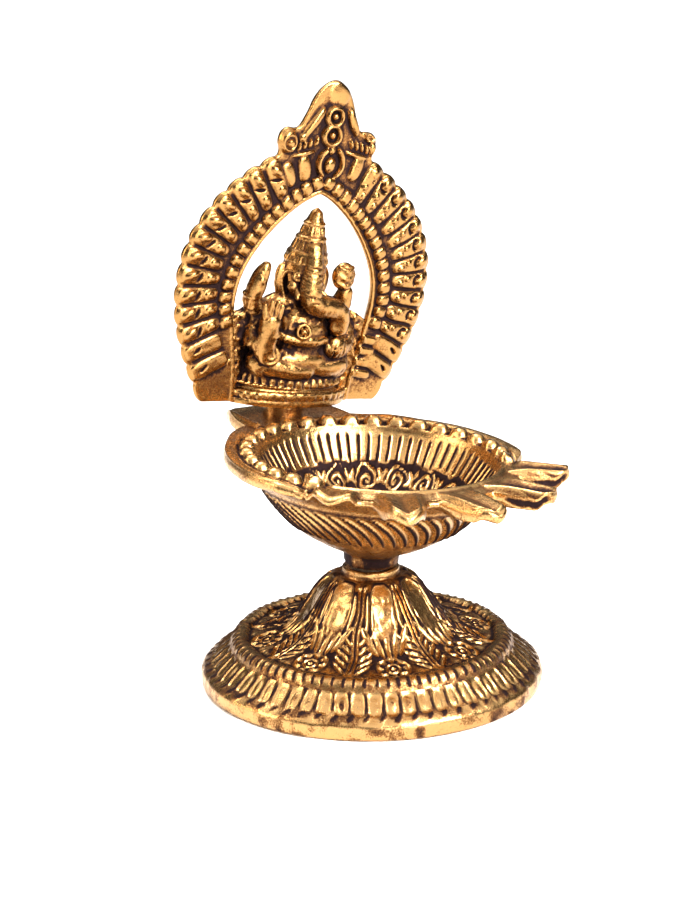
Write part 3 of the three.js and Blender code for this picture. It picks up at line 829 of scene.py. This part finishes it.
def floor_scrolls(x, y):
    """A middle boss inside rings of curls, with a pair of leaves after each curl."""
    scroll = pad(x, y, 2.0, 2.0)
    for count, ring_r, radius, pitch in FLOOR_RINGS:
        for k in range(count):
            bearing = 2 * math.pi * (k + 0.5) / count + ring_r
            cx, cy = ring_r * math.cos(bearing), ring_r * math.sin(bearing)
            hand = 1 if k % 2 else -1
            scroll = np.maximum(scroll, curl(x - cx, y - cy, radius, pitch, bearing, hand))
            leaf_at = bearing + math.pi / count
            leaf_x, leaf_y = (ring_r + 0.6) * math.cos(leaf_at), (ring_r + 0.6) * math.sin(leaf_at)
            for lean in (-38, 38):
                leaf = turned_to(x, y, leaf_x, leaf_y, math.degrees(leaf_at) - 90 + lean)
                scroll = np.maximum(scroll, pad(*leaf, 0.6, 1.9))
    return scroll


def gadroon_relief(turn, z):
    """Slanted swellings round the outside with a stroke cut into each, and the line above them."""
    lean_of = turn / 360 * GADROONS + 0.26 * (z - 40) + 0.02 * (z - 40) ** 2
    blade = 0.17 * np.sqrt(np.clip(1 - ((z - 40.6) / 4.3) ** 2, 0, 1)) + 0.001
    stroke = ridge((lean_of % 1) - 0.5, blade)
    swell = 0.5 + 0.5 * np.cos(2 * math.pi * lean_of)
    return (0.28 * swell - 0.5 * stroke) * band(36.6, 44.6, z, 0.5) - 0.18 * ridge(z - 45.0, 0.4)


def bowl_patina_and_shade(plain, angles, turn, r, z, on, cuts, scroll, on_floor, on_neck):
    """The darkening that doesn't follow from the height: painted shade on the right front of the flange and
    along its channels, on the serrated flanks, over the outside wall and over the neck under the bowl; patina
    on the beads and in the slits, grime on the floor, dark clouds inside and stains on the neck.
    """
    _, across, out = spout_fields(angles, r)
    channel = ridge(across + 0.12 * lumps(plain, 2.5, 35), 0.5) * smoothstep(0.05, 0.4, out)
    shade_right_front = smoothstep(8, 16, angles) * smoothstep(29, 33, r) * (angles < 64)
    beads = np.clip((blurred(z, 2, ((0, False), (1, True))) - z) * 1.6, -0.6, 0.8)
    # Painted shade over the right front of the flange, deepest along the spouts' channels; the beads' hollows
    # are patina.
    recess_and_shade = on["flange"] * ((0.1 + 0.25 * channel) * shade_right_front + beads)
    # Painted shade: a little over the whole outside wall, and much on the serrated flanks of the right front
    # spouts.
    recess_and_shade = recess_and_shade + 0.05 * on["wall"] + 0.85 * cuts
    grime = np.clip(0.5 - scroll, -0.2, 0.5) + 0.15 * lumps(plain, 1.0, 30)
    cloud = 0.2 * smoothstep(-0.1, 0.5, lumps(plain, 4.0, 28)) * (z < 45)
    recess_and_shade = recess_and_shade + on_floor * grime + on["inside"] * cloud
    recess_and_shade = recess_and_shade + 0.35 * wall_slits(turn) * band(*SLIT_BAND, z, 0.4) * on["inside"]
    # Painted shade over the whole neck under the bowl, with random stains on its upper part.
    stain = (z > 27.6) * smoothstep(0.0, 0.35, lumps(plain, 2.6, 29) + 0.3)
    return recess_and_shade + (0.18 + 0.4 * stain) * on_neck


def build_bowl():
    """The bowl: floor, slit wall, beaded flange with its spouts, edge, outside and neck, then the boss."""
    angles = column_angles()[None, :]
    r, z, on, cuts = bowl_rows(angles)
    a = np.radians(angles) * np.ones_like(r)
    x, y = r * np.sin(a), -r * np.cos(a)
    plain = np.stack([x, y, z], -1)
    normal = np.cross(np.roll(plain, -1, 1) - np.roll(plain, 1, 1), np.gradient(plain, axis=0))
    normal /= np.linalg.norm(normal, axis=2)[..., None] + 1e-9
    turn = angles + np.degrees(lumps(plain, 6.0, 21) * 0.25 / np.maximum(r, 6))
    on_floor = (1 - smoothstep(22.0, 22.6, r + 0.6 * lumps(plain, 2.0, 33))) * on["inside"]
    on_neck = (z < 29.8) * on["wall"]

    scroll = floor_scrolls(x + 0.5 * lumps(plain, 2.4, 31), y + 0.5 * lumps(plain, 2.4, 32))
    height = slits_relief(turn, z) * on["inside"] + gadroon_relief(turn, z) * on["wall"]
    height = height + (0.75 * scroll - 0.2 + 0.16 * lumps(plain, 1.1, 23)) * on_floor
    height = height + (0.07 * lumps(plain, 0.9, 24) + 0.05 * lumps(plain, 0.5, 25)) * on_neck
    height = height + 0.08 * lumps(plain, 5.0, 26) + 0.04 * lumps(plain, 2.2, 27)
    height[0] = height[-4:] = 0

    recess_and_shade = (blurred(height, 2, ((0, False), (1, True))) - height) * 3.0
    recess_and_shade = recess_and_shade + bowl_patina_and_shade(plain, angles, turn, r, z, on, cuts, scroll, on_floor, on_neck)
    points = bowl_place((plain + normal * height[..., None]).reshape(-1, 3))
    quads = wrapped_quads(len(r), BOWL_COLUMNS, False)[:, ::-1]
    boss, boss_quads, boss_recess = tab_boss()
    new_piece("bowl_relief", np.vstack([points, boss]), np.vstack([quads, boss_quads + len(points)]),
              np.r_[np.clip(recess_and_shade, -1, 1).reshape(-1), boss_recess], "lamp_bowl", "bowl",
              brass_material("bowl_brass", GOLD, 0.24, 0.3, 0.03))


# ---- arch
# Drawn upright about its screw: x across, y to the rear, z up from the foot's underside.
ARCH_STEP = 0.297
ARCH_FRONT = -1.9  # the plane that the relief stands on
ARCH_BACK = 1.9
ARCH_ROLL = 4.9
ARCH_LEAN = 2.9
PIVOT_Y = 38.7
PIVOT_Z = 54.4
ARCH_LOBES = 14
LOBE_STEPS = 8  # outline points along each lobe
LOBE_INSET = 5.2  # from the outline to a lobe's middle
ARCH_BEADS = 15
FOOT_HALF_X = 15.6
FOOT_HALF_Y = 7.2
FOOT_TOP = 3.6
ARCH_OUTER = [
    [24, 0], [25.6, 3.2], [28.6, 8.4], [31.8, 15.4], [33.7, 22.4], [34, 28.6], [33.4, 34.2],
    [31.2, 40.4], [26.9, 46.8], [21.4, 51.9], [16, 55.4], [12.6, 57.2],
]
CREST = [
    [12.6, 57.2], [12.4, 58.4], [13.2, 60], [12.9, 62.2], [11.3, 63.7], [9.4, 63.4], [8, 63.6],
    [6.6, 66.6], [5.2, 70.4], [3.4, 73], [1.2, 74.4], [0, 74.6],
]
ARCH_OPENING = [
    [15.2, -2], [15.3, 3], [15.9, 8.6], [17.2, 14.6], [18.3, 20], [18.6, 25], [17.8, 29.8],
    [15.7, 34.4], [12.6, 39], [8.8, 43.2], [4.6, 46.6], [1.2, 48.4], [0, 48.8],
]
BEAD_LINE = [
    [20.4, 19], [21.4, 22.6], [21.6, 25.6], [21, 29.6], [19.6, 33.8], [17.2, 38], [14.4, 41.4],
    [11.4, 44.5], [8.3, 47.2], [5, 49.6], [1.5, 51.3],
]


def arch_place(points):
    """From the arch's own upright frame to the row frame."""
    lean = Matrix.Rotation(math.radians(ARCH_LEAN), 3, "X")
    pose = lean @ Matrix.Rotation(math.radians(ARCH_ROLL), 3, "Y")
    return bowl_place(np.asarray(points, float) @ np.array(pose).T + np.array([0, PIVOT_Y, PIVOT_Z]))


def tangents(points):
    """Unit vectors along a polyline."""
    along = np.gradient(points, axis=0)
    return along / np.linalg.norm(along, axis=1)[:, None]


def mirrored(half):
    """A closed outline from its right half, which ends on the middle line."""
    return np.vstack([half, half[::-1][1:] * [-1, 1]])


def arch_outline():
    """The arch's outer edge, a scallop for each lobe, and its crest."""
    side = rounded(ARCH_OUTER, ARCH_LOBES * LOBE_STEPS + 1)
    along = tangents(side)
    swell = 0.75 * np.abs(np.sin(np.arange(len(side)) / LOBE_STEPS * math.pi)) ** 0.7 - 0.5
    side = side + np.stack([along[:, 1], -along[:, 0]], 1) * swell[:, None]
    return mirrored(np.vstack([side[:-1], rounded(CREST, 40)]))


def lobe_relief(x, y, on_left):
    """One pad of the arch's border; y runs outward along it from its middle."""
    half = 1.9 + 0.06 * np.clip(y, -5, 5)
    body = 0.9 * pad(x / half, y / 5.2, 1, 1, 3.2)
    if on_left:
        boss = 0.62 * pad(x + 0.1, y + 2.6, 1.05, 1.25)
        horn = 0.85 * pad(*turned_to(x, y, 0.25, 2.5, 25), 1.0, 1.7)
        slash = 0.85 * pad(*turned_to(x, y, -0.35, 0.35, 62), 0.42, 1.5)
    else:
        boss = 0.55 * np.maximum(pad(x - 0.5, y + 1.1, 0.75, 0.85), pad(x + 0.4, y + 3, 0.7, 0.9))
        horn = 0.5 * pad(x, y - 3.1, 1.2, 1.2)
        slash = 0.8 * ring(x, y - 2.2, 1.15, 0.42) * smoothstep(-0.2, 0.6, 2.3 - y + 0.5 * x)
    return (body + boss + horn) * (body > 0) - slash * (body > 0)


def leg_pad_relief(x, y):
    """One of the two lowest, flat pads, with its slit."""
    body = 0.8 * pad(x / 2.05, y / 4.9, 1, 1, 3.8)
    return body - 0.9 * pad(*turned_to(x, y, 0.1, 1.9, 18), 0.36, 1.2) * (body > 0)


def crest_relief(x, z):
    """Two ringed bosses, scrolls, ribs, a jewel between crescents, and an ear at each side."""
    def leant(tall, cx, cz, lean, half_x, half_z, flatness=2.0):
        """A pad of that height, centre and lean in degrees."""
        return tall * pad(*turned_to(x, z, cx, cz, lean), half_x, half_z, flatness)

    motifs = [
        leant(0.6, 1, 71.6, 0, 2.9, 2.9),
        leant(1.3, -4.9, 64.9, -33.6, 1.05, 4.4, 2.6), leant(1.3, 5.8, 65.5, 28, 1.05, 3.6, 2.6),
        leant(0.9, -6.4, 57.9, 13, 3.2, 0.6, 2.4), leant(0.9, 7.8, 58, -12, 3.2, 0.6, 2.4),
        leant(1.5, -10.9, 60.5, 0, 2.3, 2.7), leant(1.5, 10.9, 62.6, 0, 1.7, 1.7),
        leant(1.15, -7.2, 61.6, 0, 1.25, 1.1), leant(1.2, 12, 59.4, 24, 1.2, 2),
        leant(1.1, 0.8, 59.2, 0, 0.9, 1.1),
        1.45 * ring(x - 1, (z - 56.2) * 0.9, 3.05, 0.75) * smoothstep(0.9, 1.7, np.abs(x - 1)),
    ]
    for cx, cz, radius in ((0.3, 66.7, 2.0), (0.2, 62.5, 2.1)):
        motifs += [1.35 * ring(x - cx, z - cz, radius, 0.8), leant(1.25, cx, cz, 0, 0.95, 0.95)]
    for k in range(4):
        motifs += [leant(0.95, -7.8 + 1.5 * k, 59.5 + 0.5 * k, -10, 0.5, 1.25),
                   leant(0.95, 6 + 1.4 * k, 60.5 - 0.35 * k, 12, 0.5, 1.25)]
    for cx, cz, lean in ((-5.6, 54.6, 16), (-9.6, 52.9, 26), (8.2, 55.0, -16), (12.2, 53.0, -26)):
        motifs.append(leant(1.0, cx, cz, lean, 1.7, 3.1, 2.8))
    ear_holes = ring(x + 10.6, z - 60.3, 1.15, 0.4) + ring(x - 10.9, z - 62.5, 0.85, 0.3)
    return np.maximum(highest(*motifs) - 0.8 * ear_holes, leant(1.5, 1, 55.8, 0, 1.45, 2))


def arch_relief(x, z):
    """How far the front stands out from the arch's front plane."""
    wave = [lumps(np.stack([x, x * 0, z], -1), 5.0, seed) * 0.25 for seed in (41, 42)]
    x, z = x + wave[0], z + wave[1]
    outer = rounded(ARCH_OUTER, 2 * ARCH_LOBES + 1)
    beads = rounded(BEAD_LINE, ARCH_BEADS)
    motifs = [crest_relief(x, z), np.zeros_like(x)]
    for hand in (-1, 1):
        for k in range(1, ARCH_LOBES):
            (ox, oz), (tx, tz) = outer[2 * k + 1], tangents(outer)[2 * k + 1]
            cx, cz = ox - tz * LOBE_INSET, oz + tx * LOBE_INSET
            across = (hand * x - cx) * tx + (z - cz) * tz
            out = (hand * x - cx) * tz - (z - cz) * tx
            motifs.append(leg_pad_relief(across, out) if k < 3 else lobe_relief(across, out, hand < 0))
        for (bx, bz), (sx, sz) in zip(beads, tangents(beads)):
            across, up = turned_to(hand * x, z, bx, bz, math.degrees(math.atan2(sz, sx)) - 90)
            motifs.append(1.3 * pad(across, up, 1.7, 1.46, 3.2))
    for k in range(4):
        bar = turned_to(x, z, 18.7 + 0.2 * k, 6.6 + 2.75 * k, -8)
        motifs.append(0.75 * pad(*bar, 2.7, 1.1, 3.2))
    return highest(*motifs)


def arch_plate(x, y, z):
    """Distance to the arch's plate: relief in front, and sides that draw in towards the back."""
    hole = outline_distance(mirrored(rounded(ARCH_OPENING, 60)), x, z)
    outer = outline_distance(arch_outline(), x, z)
    edge_strip = 0.35 * (1 - smoothstep(0.7, 1.1, hole))
    relief = arch_relief(x, z) * smoothstep(0.0, 0.7, -outer) * smoothstep(0.1, 0.6, hole)
    relief = relief - 0.15 + edge_strip
    slope = np.hypot(*np.gradient(relief, ARCH_STEP))
    front = (ARCH_FRONT - relief[:, None, :] - y) / np.sqrt(1 + slope[:, None, :] ** 2)
    draft = 1.9 * smoothstep(-0.9, ARCH_BACK, y)
    splay = 1.5 * smoothstep(-1.3, ARCH_BACK, y)
    sides = soft_max(outer[:, None, :] + draft, splay - hole[:, None, :], 0.3)
    return soft_max(soft_max(front, y - ARCH_BACK, 0.3), sides, 0.45)


def arch_foot(x, y, z):
    """Distance to the oval foot under the plinth, with its notched edge."""
    bearing = np.arctan2(y / FOOT_HALF_Y, x / FOOT_HALF_X)
    notch = 0.35 * np.abs(np.sin(bearing * 17)) ** 0.5 * band(1.6, 3.2, z, 0.3)
    oval = (np.hypot(x / FOOT_HALF_X, y / FOOT_HALF_Y) - 1) * FOOT_HALF_Y + 0.3 * (z > 1.4) - notch
    return soft_max(soft_max(oval, z - FOOT_TOP, 0.4), -z, 0.3)


def build_arch():
    """The arch casting with its foot, bored for the screw."""
    clay = Clay((-36, -7.8, -0.8), (36, 7.8, 76), ARCH_STEP)
    flat_x, flat_z = np.meshgrid(clay.axes[0], clay.axes[2], indexing="ij")
    x, y, z = np.ix_(*clay.axes)
    plate = np.maximum(arch_plate(flat_x, y, flat_z), -z)
    bore = np.where(z < 5, 1.8 - np.hypot(x, y), -5.0)
    clay.field = np.maximum(soft_min(plate, arch_foot(x, y, z), 0.5), bore)
    points, quads, recess_and_shade = clay.cast(1.0, 51)
    # Painted shade: the arch's lower part, below 12 to 20 mm, is darkened in a mottle.
    low_arch_shade = 0.3 * (1 - smoothstep(12, 20, points[:, 2])) * np.abs(lumps(points, 0.8, 53))
    new_piece("arch_relief", arch_place(points), quads, np.clip(recess_and_shade + low_arch_shade, -1, 1), "arch_casting",
              "arch", brass_material("arch_brass", SHADED_GOLD, 0.2, 0.32, 0.05))


# ---- figure
FIGURE_STEP = 0.238
PLINTH_HALF_X = 13.8
PLINTH_HALF_Y = 6.8
PLINTH_LOW = 3.5
PLINTH_TOP = 7.0
PLINTH_PETALS = 36
FIGURE_BACK = 5.6


def shape_plinth(clay):
    """The oval seat: a plain lower band, a waist and a row of petals."""
    low = np.array([-PLINTH_HALF_X, -PLINTH_HALF_Y, PLINTH_LOW])
    high = np.array([PLINTH_HALF_X, PLINTH_HALF_Y, PLINTH_TOP])

    def shape(p):
        x, y, z = p[..., 0], p[..., 1], p[..., 2]
        bearing = np.arctan2(y / PLINTH_HALF_Y, x / PLINTH_HALF_X)
        petals = 0.5 * np.abs(np.sin(bearing * PLINTH_PETALS / 2)) * smoothstep(4.3, 4.9, z)
        waist = 0.2 * ridge(z - 4.1, 0.4)
        tilted = z + 0.07 * x
        oval = (np.hypot(x / PLINTH_HALF_X, y / PLINTH_HALF_Y) - 1) * PLINTH_HALF_Y
        dome = 0.5 * smoothstep(5.6, PLINTH_TOP, tilted) - 0.5 * (1 - smoothstep(4.3, 4.6, tilted))
        side = soft_max(oval + waist + dome - petals + 0.35, tilted - PLINTH_TOP, 0.4)
        return soft_max(side, PLINTH_LOW - z, 0.2)

    clay.press(low, high, shape, 0.2, False)


def shape_body(clay):
    """Belly, folded legs and the mass that joins the figure to its seat."""
    clay.ball((0, 0.6, 15), (8.2, 4.2, 9.5), 0.6)
    clay.ball((0, -1.6, 16.4), (7.2, 5.2, 7.6), 0.8)
    clay.ball((0, 0.4, 22.6), (8.8, 3.4, 4.2), 0.9)
    clay.ball((0, -2.6, 8.6), (10.8, 4.0, 2.7), 0.8)
    clay.ball((-9.4, -2.8, 10), (4.3, 3.4, 4.0), 0.6)
    clay.ball((9.6, -2.6, 9.6), (4.1, 3.4, 3.6), 0.6)
    clay.ball((0, 0.8, 8.5), (13.2, 4.6, 3.4), 0.8)
    clay.ball((0, -3.6, 10.6), (8.6, 3.6, 3.4), 0.9)
    clay.limb([[-9.8, -4.2, 9.8, 2.3], [-5, -5.8, 8.7, 1.8], [1, -6.1, 8.3, 1.4]], 0.7)
    clay.limb([[9.8, -4.2, 9.6, 2.2], [5.4, -5.4, 9.2, 1.7], [0.5, -5.4, 9.4, 1.2]], 0.7)
    clay.hoop((-10.6, -7.5, 12.7), 0.9, 0.42, (-0.3, -1, 0.15))
    clay.ball((-10.6, -6.3, 12.7), (2.6, 1.5, 2.6), 0.3)
    clay.hoop((-10.6, -7.0, 12.7), 2.05, 0.5, (-0.3, -1, 0.15))


def shape_back(clay):
    """The thin rough wall that fills the foot of the arch's opening behind the figure."""
    outline = mirrored(np.array([[18.2, 0], [18.2, 19.6], [16.4, 20.8], [12.6, 22.4], [8, 24.6], [0, 25]]))

    def shape(p):
        x, y, z = p[..., 0], p[..., 1], p[..., 2]
        edge = outline_distance(outline, x[:, 0, :], z[:, 0, :])[:, None, :]
        front = -0.2 - 1.4 * smoothstep(12.6, 15.4, np.abs(x)) - 0.3 * lumps(p, 1.0, 62)
        return soft_max(edge, soft_max(front - y, y - 1.8, 0.2), 0.5)

    clay.press((-18, -2, 3.4), (18, 1.8, 25), shape, 0.5, False)


def shape_ornaments(clay):
    """The belt and its round clasp."""
    clay.limb([[-6.9, -4.4, 16.6, 1.0], [-4.4, -6.0, 15.9, 1.15], [0.6, -6.5, 15.6, 1.2],
               [4.4, -5.6, 16.0, 1.1]], 0.4)
    clay.hoop((-2.5, -7.2, 18.2), 1.5, 0.48, (-0.25, -1, 0.2), 0.2)
    clay.ball((-2.5, -7.2, 18.2), (0.85, 0.85, 0.85), 0.1)


def shape_head(clay):
    """Elephant head, ears and the trunk that curls to one side."""
    clay.ball((-0.9, -1.0, 29.6), (4.9, 4.2, 5.6), 0.6)
    clay.ball((-1, -3.2, 31.6), (3.3, 2.4, 3.8), 0.7)
    for hand in (-1, 1):
        clay.ball((-0.7 + hand * 4.5, 0.2, 28.2), (2.9, 1.3, 4.4), 0.4, (0, hand * 12, hand * -18))
        clay.ball((-0.7 + hand * 4.7, -1.0, 28.2), (1.5, 0.9, 2.9), 0.2, (0, hand * 12, 0), carve=True)
        clay.limb([[hand * 4.2 - 0.7, -1.4, 31.8, 0.5], [hand * 6.3 - 0.7, -0.9, 29.6, 0.55],
                   [hand * 4.6 - 0.7, -1.2, 24.8, 0.5]], 0.15)
        clay.hoop((-1.2 + hand * 3.2, -4.2, 30.4), 0.95, 0.36, (hand * 0.7, -1, 0.1), 0.12)
        clay.ball((-1.2 + hand * 3.2, -4.3, 30.4), (0.55, 0.5, 0.5), 0.08)
        clay.ball((-1.0 + hand * 3.4, -3.0, 27.8), (1.5, 1.2, 1.6), 0.3)
    clay.limb([[-4.0, -4.4, 27.0, 0.8], [-4.8, -6.0, 25.6, 0.45]], 0.2)
    clay.limb([[1.2, -4.6, 27.4, 0.8], [2.9, -6.2, 26.2, 0.45]], 0.2)
    clay.limb([[-0.9, -3.8, 36.4, 2.0], [-1.2, -5.2, 31.6, 2.4], [-1.9, -6.4, 27.2, 2.45],
               [-0.9, -6.7, 24.2, 2.4], [3.4, -6.6, 23.8, 2.35],
               [6.6, -6.1, 23.3, 2.35], [7.8, -5.7, 21.2, 2.45],
               [7.7, -5.5, 19.2, 2.3]], 0.4, 16)
    for k in range(7):
        clay.hoop((-1.0 - 0.12 * k, -4.6 - 0.3 * k, 33.6 - 1.3 * k), 2.65, 0.16, (0, -0.28, 1), 0.1, True)


def shape_crown(clay):
    """The tall banded crown."""
    centre = np.array([-0.5, -0.9, 0])

    def shape(p):
        local = p - centre
        local[..., 0] -= 0.09 * (local[..., 2] - 35)
        height = local[..., 2]
        radius = np.interp(height, [31, 33.4, 36, 38, 40.4, 42.8, 44.6, 45.6],
                           [5.1, 4.9, 4.2, 3.5, 2.75, 2.05, 1.35, 0.2])
        bearing = np.arctan2(local[..., 1], local[..., 0])
        ribs = 0.3 * np.abs(np.sin(bearing * 9))
        on_ribs = band(36.2, 38.4, height, 0.1) + band(39.8, 41.4, height, 0.1)
        bands = ridge(height - 35.2, 0.8) + ridge(height - 38.8, 0.55) + ridge(height - 42.1, 0.45)
        dots = 0.35 * np.abs(np.sin(bearing * 12)) * band(33.2, 34.6, height, 0.15)
        wide = radius + 0.38 * bands + (ribs - 0.12) * on_ribs + dots
        flat = np.hypot(local[..., 0], local[..., 1])
        return soft_max((flat - wide) * 0.93, np.maximum(31 - height, height - 45.7), 0.3)

    clay.press((-7, -7, 31), (6, 5, 45.8), shape, 0.3, False)


def shape_arms(clay):
    """Two raised arms with their attributes, a blessing hand, and a hand that holds sweets."""
    clay.limb([[-7, 0.4, 21.6, 2.6], [-11.6, -0.4, 21.2, 2.4], [-14.1, -1.4, 23.6, 2.1],
               [-14, -1.8, 26.6, 1.9]], 0.5)
    clay.limb([[-13.9, -2, 26, 2.0], [-13.3, -2.4, 29.4, 2.05], [-12.3, -2.8, 32.2, 1.2]], 0.3)
    clay.ball((-13.5, -3.8, 29.1), (1.05, 0.8, 1.05), 0.15)
    clay.ball((-12.8, -3.7, 31.3), (0.75, 0.6, 0.8), 0.15)
    clay.hoop((-14.2, -1.6, 25.2), 1.9, 0.38, (0.1, -0.3, 1), 0.15)

    clay.limb([[7, 0.6, 22.2, 2.5], [11.4, 0, 21.8, 2.3], [11.4, -1, 26, 1.9]], 0.5)
    clay.ball((9.8, -1.6, 30.0), (3.0, 2.0, 3.2), 0.3)
    for k in range(3):
        top, half = 32.2 - 1.7 * k, (1.7, 2.3, 2.0)[k]
        clay.limb([[9.8 - half, -2.4, top, 0.5], [9.8, -3.5, top - 1.2, 0.7],
                   [9.8 + half, -2.4, top, 0.5]], 0.1, 6)

    clay.limb([[-7.4, 0, 21.0, 2.7], [-12.4, -1.2, 18.4, 2.7], [-13, -3.2, 14.6, 2.5],
               [-12, -5.2, 15.6, 2.2], [-11.4, -5.9, 18.2, 1.9]], 0.5)
    clay.limb([[-11.3, -5.4, 13.4, 2.4], [-11.5, -6.2, 17, 2.3], [-11.5, -6.6, 20.4, 2.3]], 0.3)
    clay.ball((-11.7, -6.9, 21.4), (2.3, 1.2, 2.2), 0.3)
    for tip in ((-13.9, -7.2, 24.3), (-12.5, -7.8, 25.2), (-11.0, -7.9, 25.2), (-9.6, -7.4, 24.2)):
        knuckle = (tip[0] * 0.8 - 2.3, -7.4, 21.6)
        clay.limb([[*knuckle, 0.75], [*tip, 0.62]], 0.06, 3)
    clay.limb([[-13.4, -7, 17.8, 0.6], [-11.4, -8.3, 17.1, 0.65], [-9.4, -7.4, 17.6, 0.6]], 0.12)

    clay.limb([[7.6, 0, 20.6, 2.6], [12.4, -0.8, 18, 2.5], [12.2, -2.6, 14.4, 2.3],
               [9.8, -4.6, 13.8, 2.1]], 0.5)
    clay.ball((7.8, -5.4, 14.2), (3.2, 2.3, 2.8), 0.3)
    for k in range(4):
        clay.limb([[5.6 + 1.3 * k, -5.6, 16.6, 0.3], [5.4 + 1.3 * k, -7.6, 14.4, 0.34],
                   [5.9 + 1.1 * k, -6.4, 11.6, 0.3]], 0.1, 5, True)


def build_figure():
    """The figure on its plinth, bored for the screw, with a rough skin and painted shade on its deeper parts.
    """
    clay = Clay((-18.6, -9.4, 3.2), (18.6, 7.2, 46.6), FIGURE_STEP)
    for shape in (shape_plinth, shape_back, shape_body, shape_arms, shape_head, shape_crown,
                  shape_ornaments):
        shape(clay)
    x, y, z = grid = np.meshgrid(*clay.axes, indexing="ij")
    bore = np.where(z < 8.7, 1.7 - np.hypot(x, y), -5.0)
    clay.field = np.maximum(np.maximum(clay.field, bore), y - FIGURE_BACK)
    skin = np.abs(clay.field) < 0.8
    spots = np.stack([axis[skin] for axis in grid], 1)
    rough_skin = smoothstep(-6.6, -5.6, spots[:, 1]) * band(7, 24, spots[:, 2], 1.5)
    clay.field[skin] += 0.22 * rough_skin * lumps(spots, 0.75, 65)
    points, quads, recess_and_shade = clay.cast(1.8, 61)
    # Painted shade: the body set back behind the trunk and hands, 7 to 24 mm up, is darkened in a mottle.
    set_back_shade = smoothstep(-6.8, -5.8, points[:, 1]) * band(7, 24, points[:, 2], 1.5)
    recess_and_shade = recess_and_shade + set_back_shade * (0.1 + 0.4 * np.clip(lumps(points, 0.6, 63) + 0.1, -0.4, 1))
    new_piece("figure_relief", arch_place(points), quads, np.clip(recess_and_shade, -1, 1), "ganesha_figure",
              "arch", brass_material("figure_brass", SHADED_GOLD, 0.2, 0.36, 0.07))


# ---- fasteners
def dress_fasteners():
    """The CAD fasteners' own metals."""
    steel = plain_metal("plain_steel", (0.62, 0.61, 0.58), 0.38, 1400.0)
    nut_brass = plain_metal("nut_brass", (0.78, 0.62, 0.3), 0.36, 1100.0)
    for name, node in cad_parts.items():
        if name in ("centre_stud", "clamp_washer", "clamp_nut", "arch_screw", "arch_washer"):
            node.data.materials.clear()
            node.data.materials.append(nut_brass if name == "clamp_nut" else steel)


# ---- stage, lights, camera
CAMERA_FROM = (-0.2814, -0.4183, 0.1969)
CAMERA_AZIMUTH = -33.4
CAMERA_PITCH = 15.96
CAMERA_ROLL = -0.59
CAMERA_LENS = 96.0
FLOOR_RADIUS = 6.0


def build_stage():
    """A plain pale floor."""
    count = 64
    turn = np.arange(count) / count * 2 * math.pi
    points = [(FLOOR_RADIUS * math.cos(t), FLOOR_RADIUS * math.sin(t), -0.0002) for t in turn]
    mesh = bpy.data.meshes.new("stage_floor")
    mesh.from_pydata(points, [], [list(range(count))])
    floor = bpy.data.objects.new("stage_floor", mesh)
    bpy.context.scene.collection.objects.link(floor)
    material = bpy.data.materials.new("stage_white")
    material.use_nodes = True
    shader = material.node_tree.nodes["Principled BSDF"]
    set_socket(shader, Base_Color=(0.93, 0.92, 0.9, 1), Roughness=0.9)
    mesh.materials.append(material)


def softbox(name, place, target, size, power, colour):
    """A rectangular lamp that faces the target."""
    light = bpy.data.lights.new(name, "AREA")
    light.shape = "RECTANGLE"
    light.size, light.size_y = size
    light.energy = power
    light.color = colour
    lamp = bpy.data.objects.new(name, light)
    lamp.location = place
    lamp.rotation_euler = (Vector(target) - Vector(place)).to_track_quat("-Z", "Y").to_euler()
    bpy.context.scene.collection.objects.link(lamp)


def in_view(right, back, up):
    """A place given to the camera's right, away from it, and up, in the row frame."""
    a = math.radians(CAMERA_AZIMUTH)
    return (right * math.cos(a) - back * math.sin(a), right * math.sin(a) + back * math.cos(a), up)


def build_lights():
    """Four softboxes round the camera, a wide overhead light for the floor, and a dim warm world."""
    middle = (0, 0, 0.06)
    softbox("key", in_view(0.55, -0.5, 0.62), middle, (0.3, 0.4), 20, (1, 0.97, 0.96))
    softbox("left", in_view(-0.75, -0.15, 0.4), middle, (0.2, 0.5), 5, (1, 0.86, 0.7))
    softbox("low", in_view(0.35, -0.8, 0.22), middle, (0.3, 0.2), 4, (1, 0.97, 0.94))
    softbox("top", in_view(-0.15, 0.3, 0.9), middle, (0.4, 0.3), 8, (0.93, 0.96, 1.0))
    sky = bpy.data.lights.new("sky", "SUN")
    sky.energy = 3.1
    sky.angle = math.radians(100)
    lamp = bpy.data.objects.new("sky", sky)
    lamp.location = (0, 0, 2)
    bpy.context.scene.collection.objects.link(lamp)
    world = bpy.data.worlds.new("studio")
    world.use_nodes = True
    set_socket(world.node_tree.nodes["Background"], Color=(0.7, 0.62, 0.56, 1), Strength=0.16)
    bpy.context.scene.world = world
    bpy.context.scene.view_settings.view_transform = "Standard"


def build_camera():
    """A long lens from the front left, looking down at the lamp."""
    data = bpy.data.cameras.new("camera")
    data.lens = CAMERA_LENS
    data.sensor_width = 36.0
    data.clip_start = 0.01
    data.clip_end = 20.0
    camera = bpy.data.objects.new("camera", data)
    aim = Matrix.Rotation(math.radians(CAMERA_AZIMUTH), 4, "Z")
    aim = aim @ Matrix.Rotation(math.radians(90 - CAMERA_PITCH), 4, "X")
    aim = aim @ Matrix.Rotation(math.radians(CAMERA_ROLL), 4, "Z")
    camera.matrix_world = Matrix.Translation(CAMERA_FROM) @ aim
    bpy.context.scene.collection.objects.link(camera)
    bpy.context.scene.camera = camera


build_camera()
build_stage()
build_lights()
build_base()
build_bowl()
build_arch()
build_figure()
dress_fasteners()
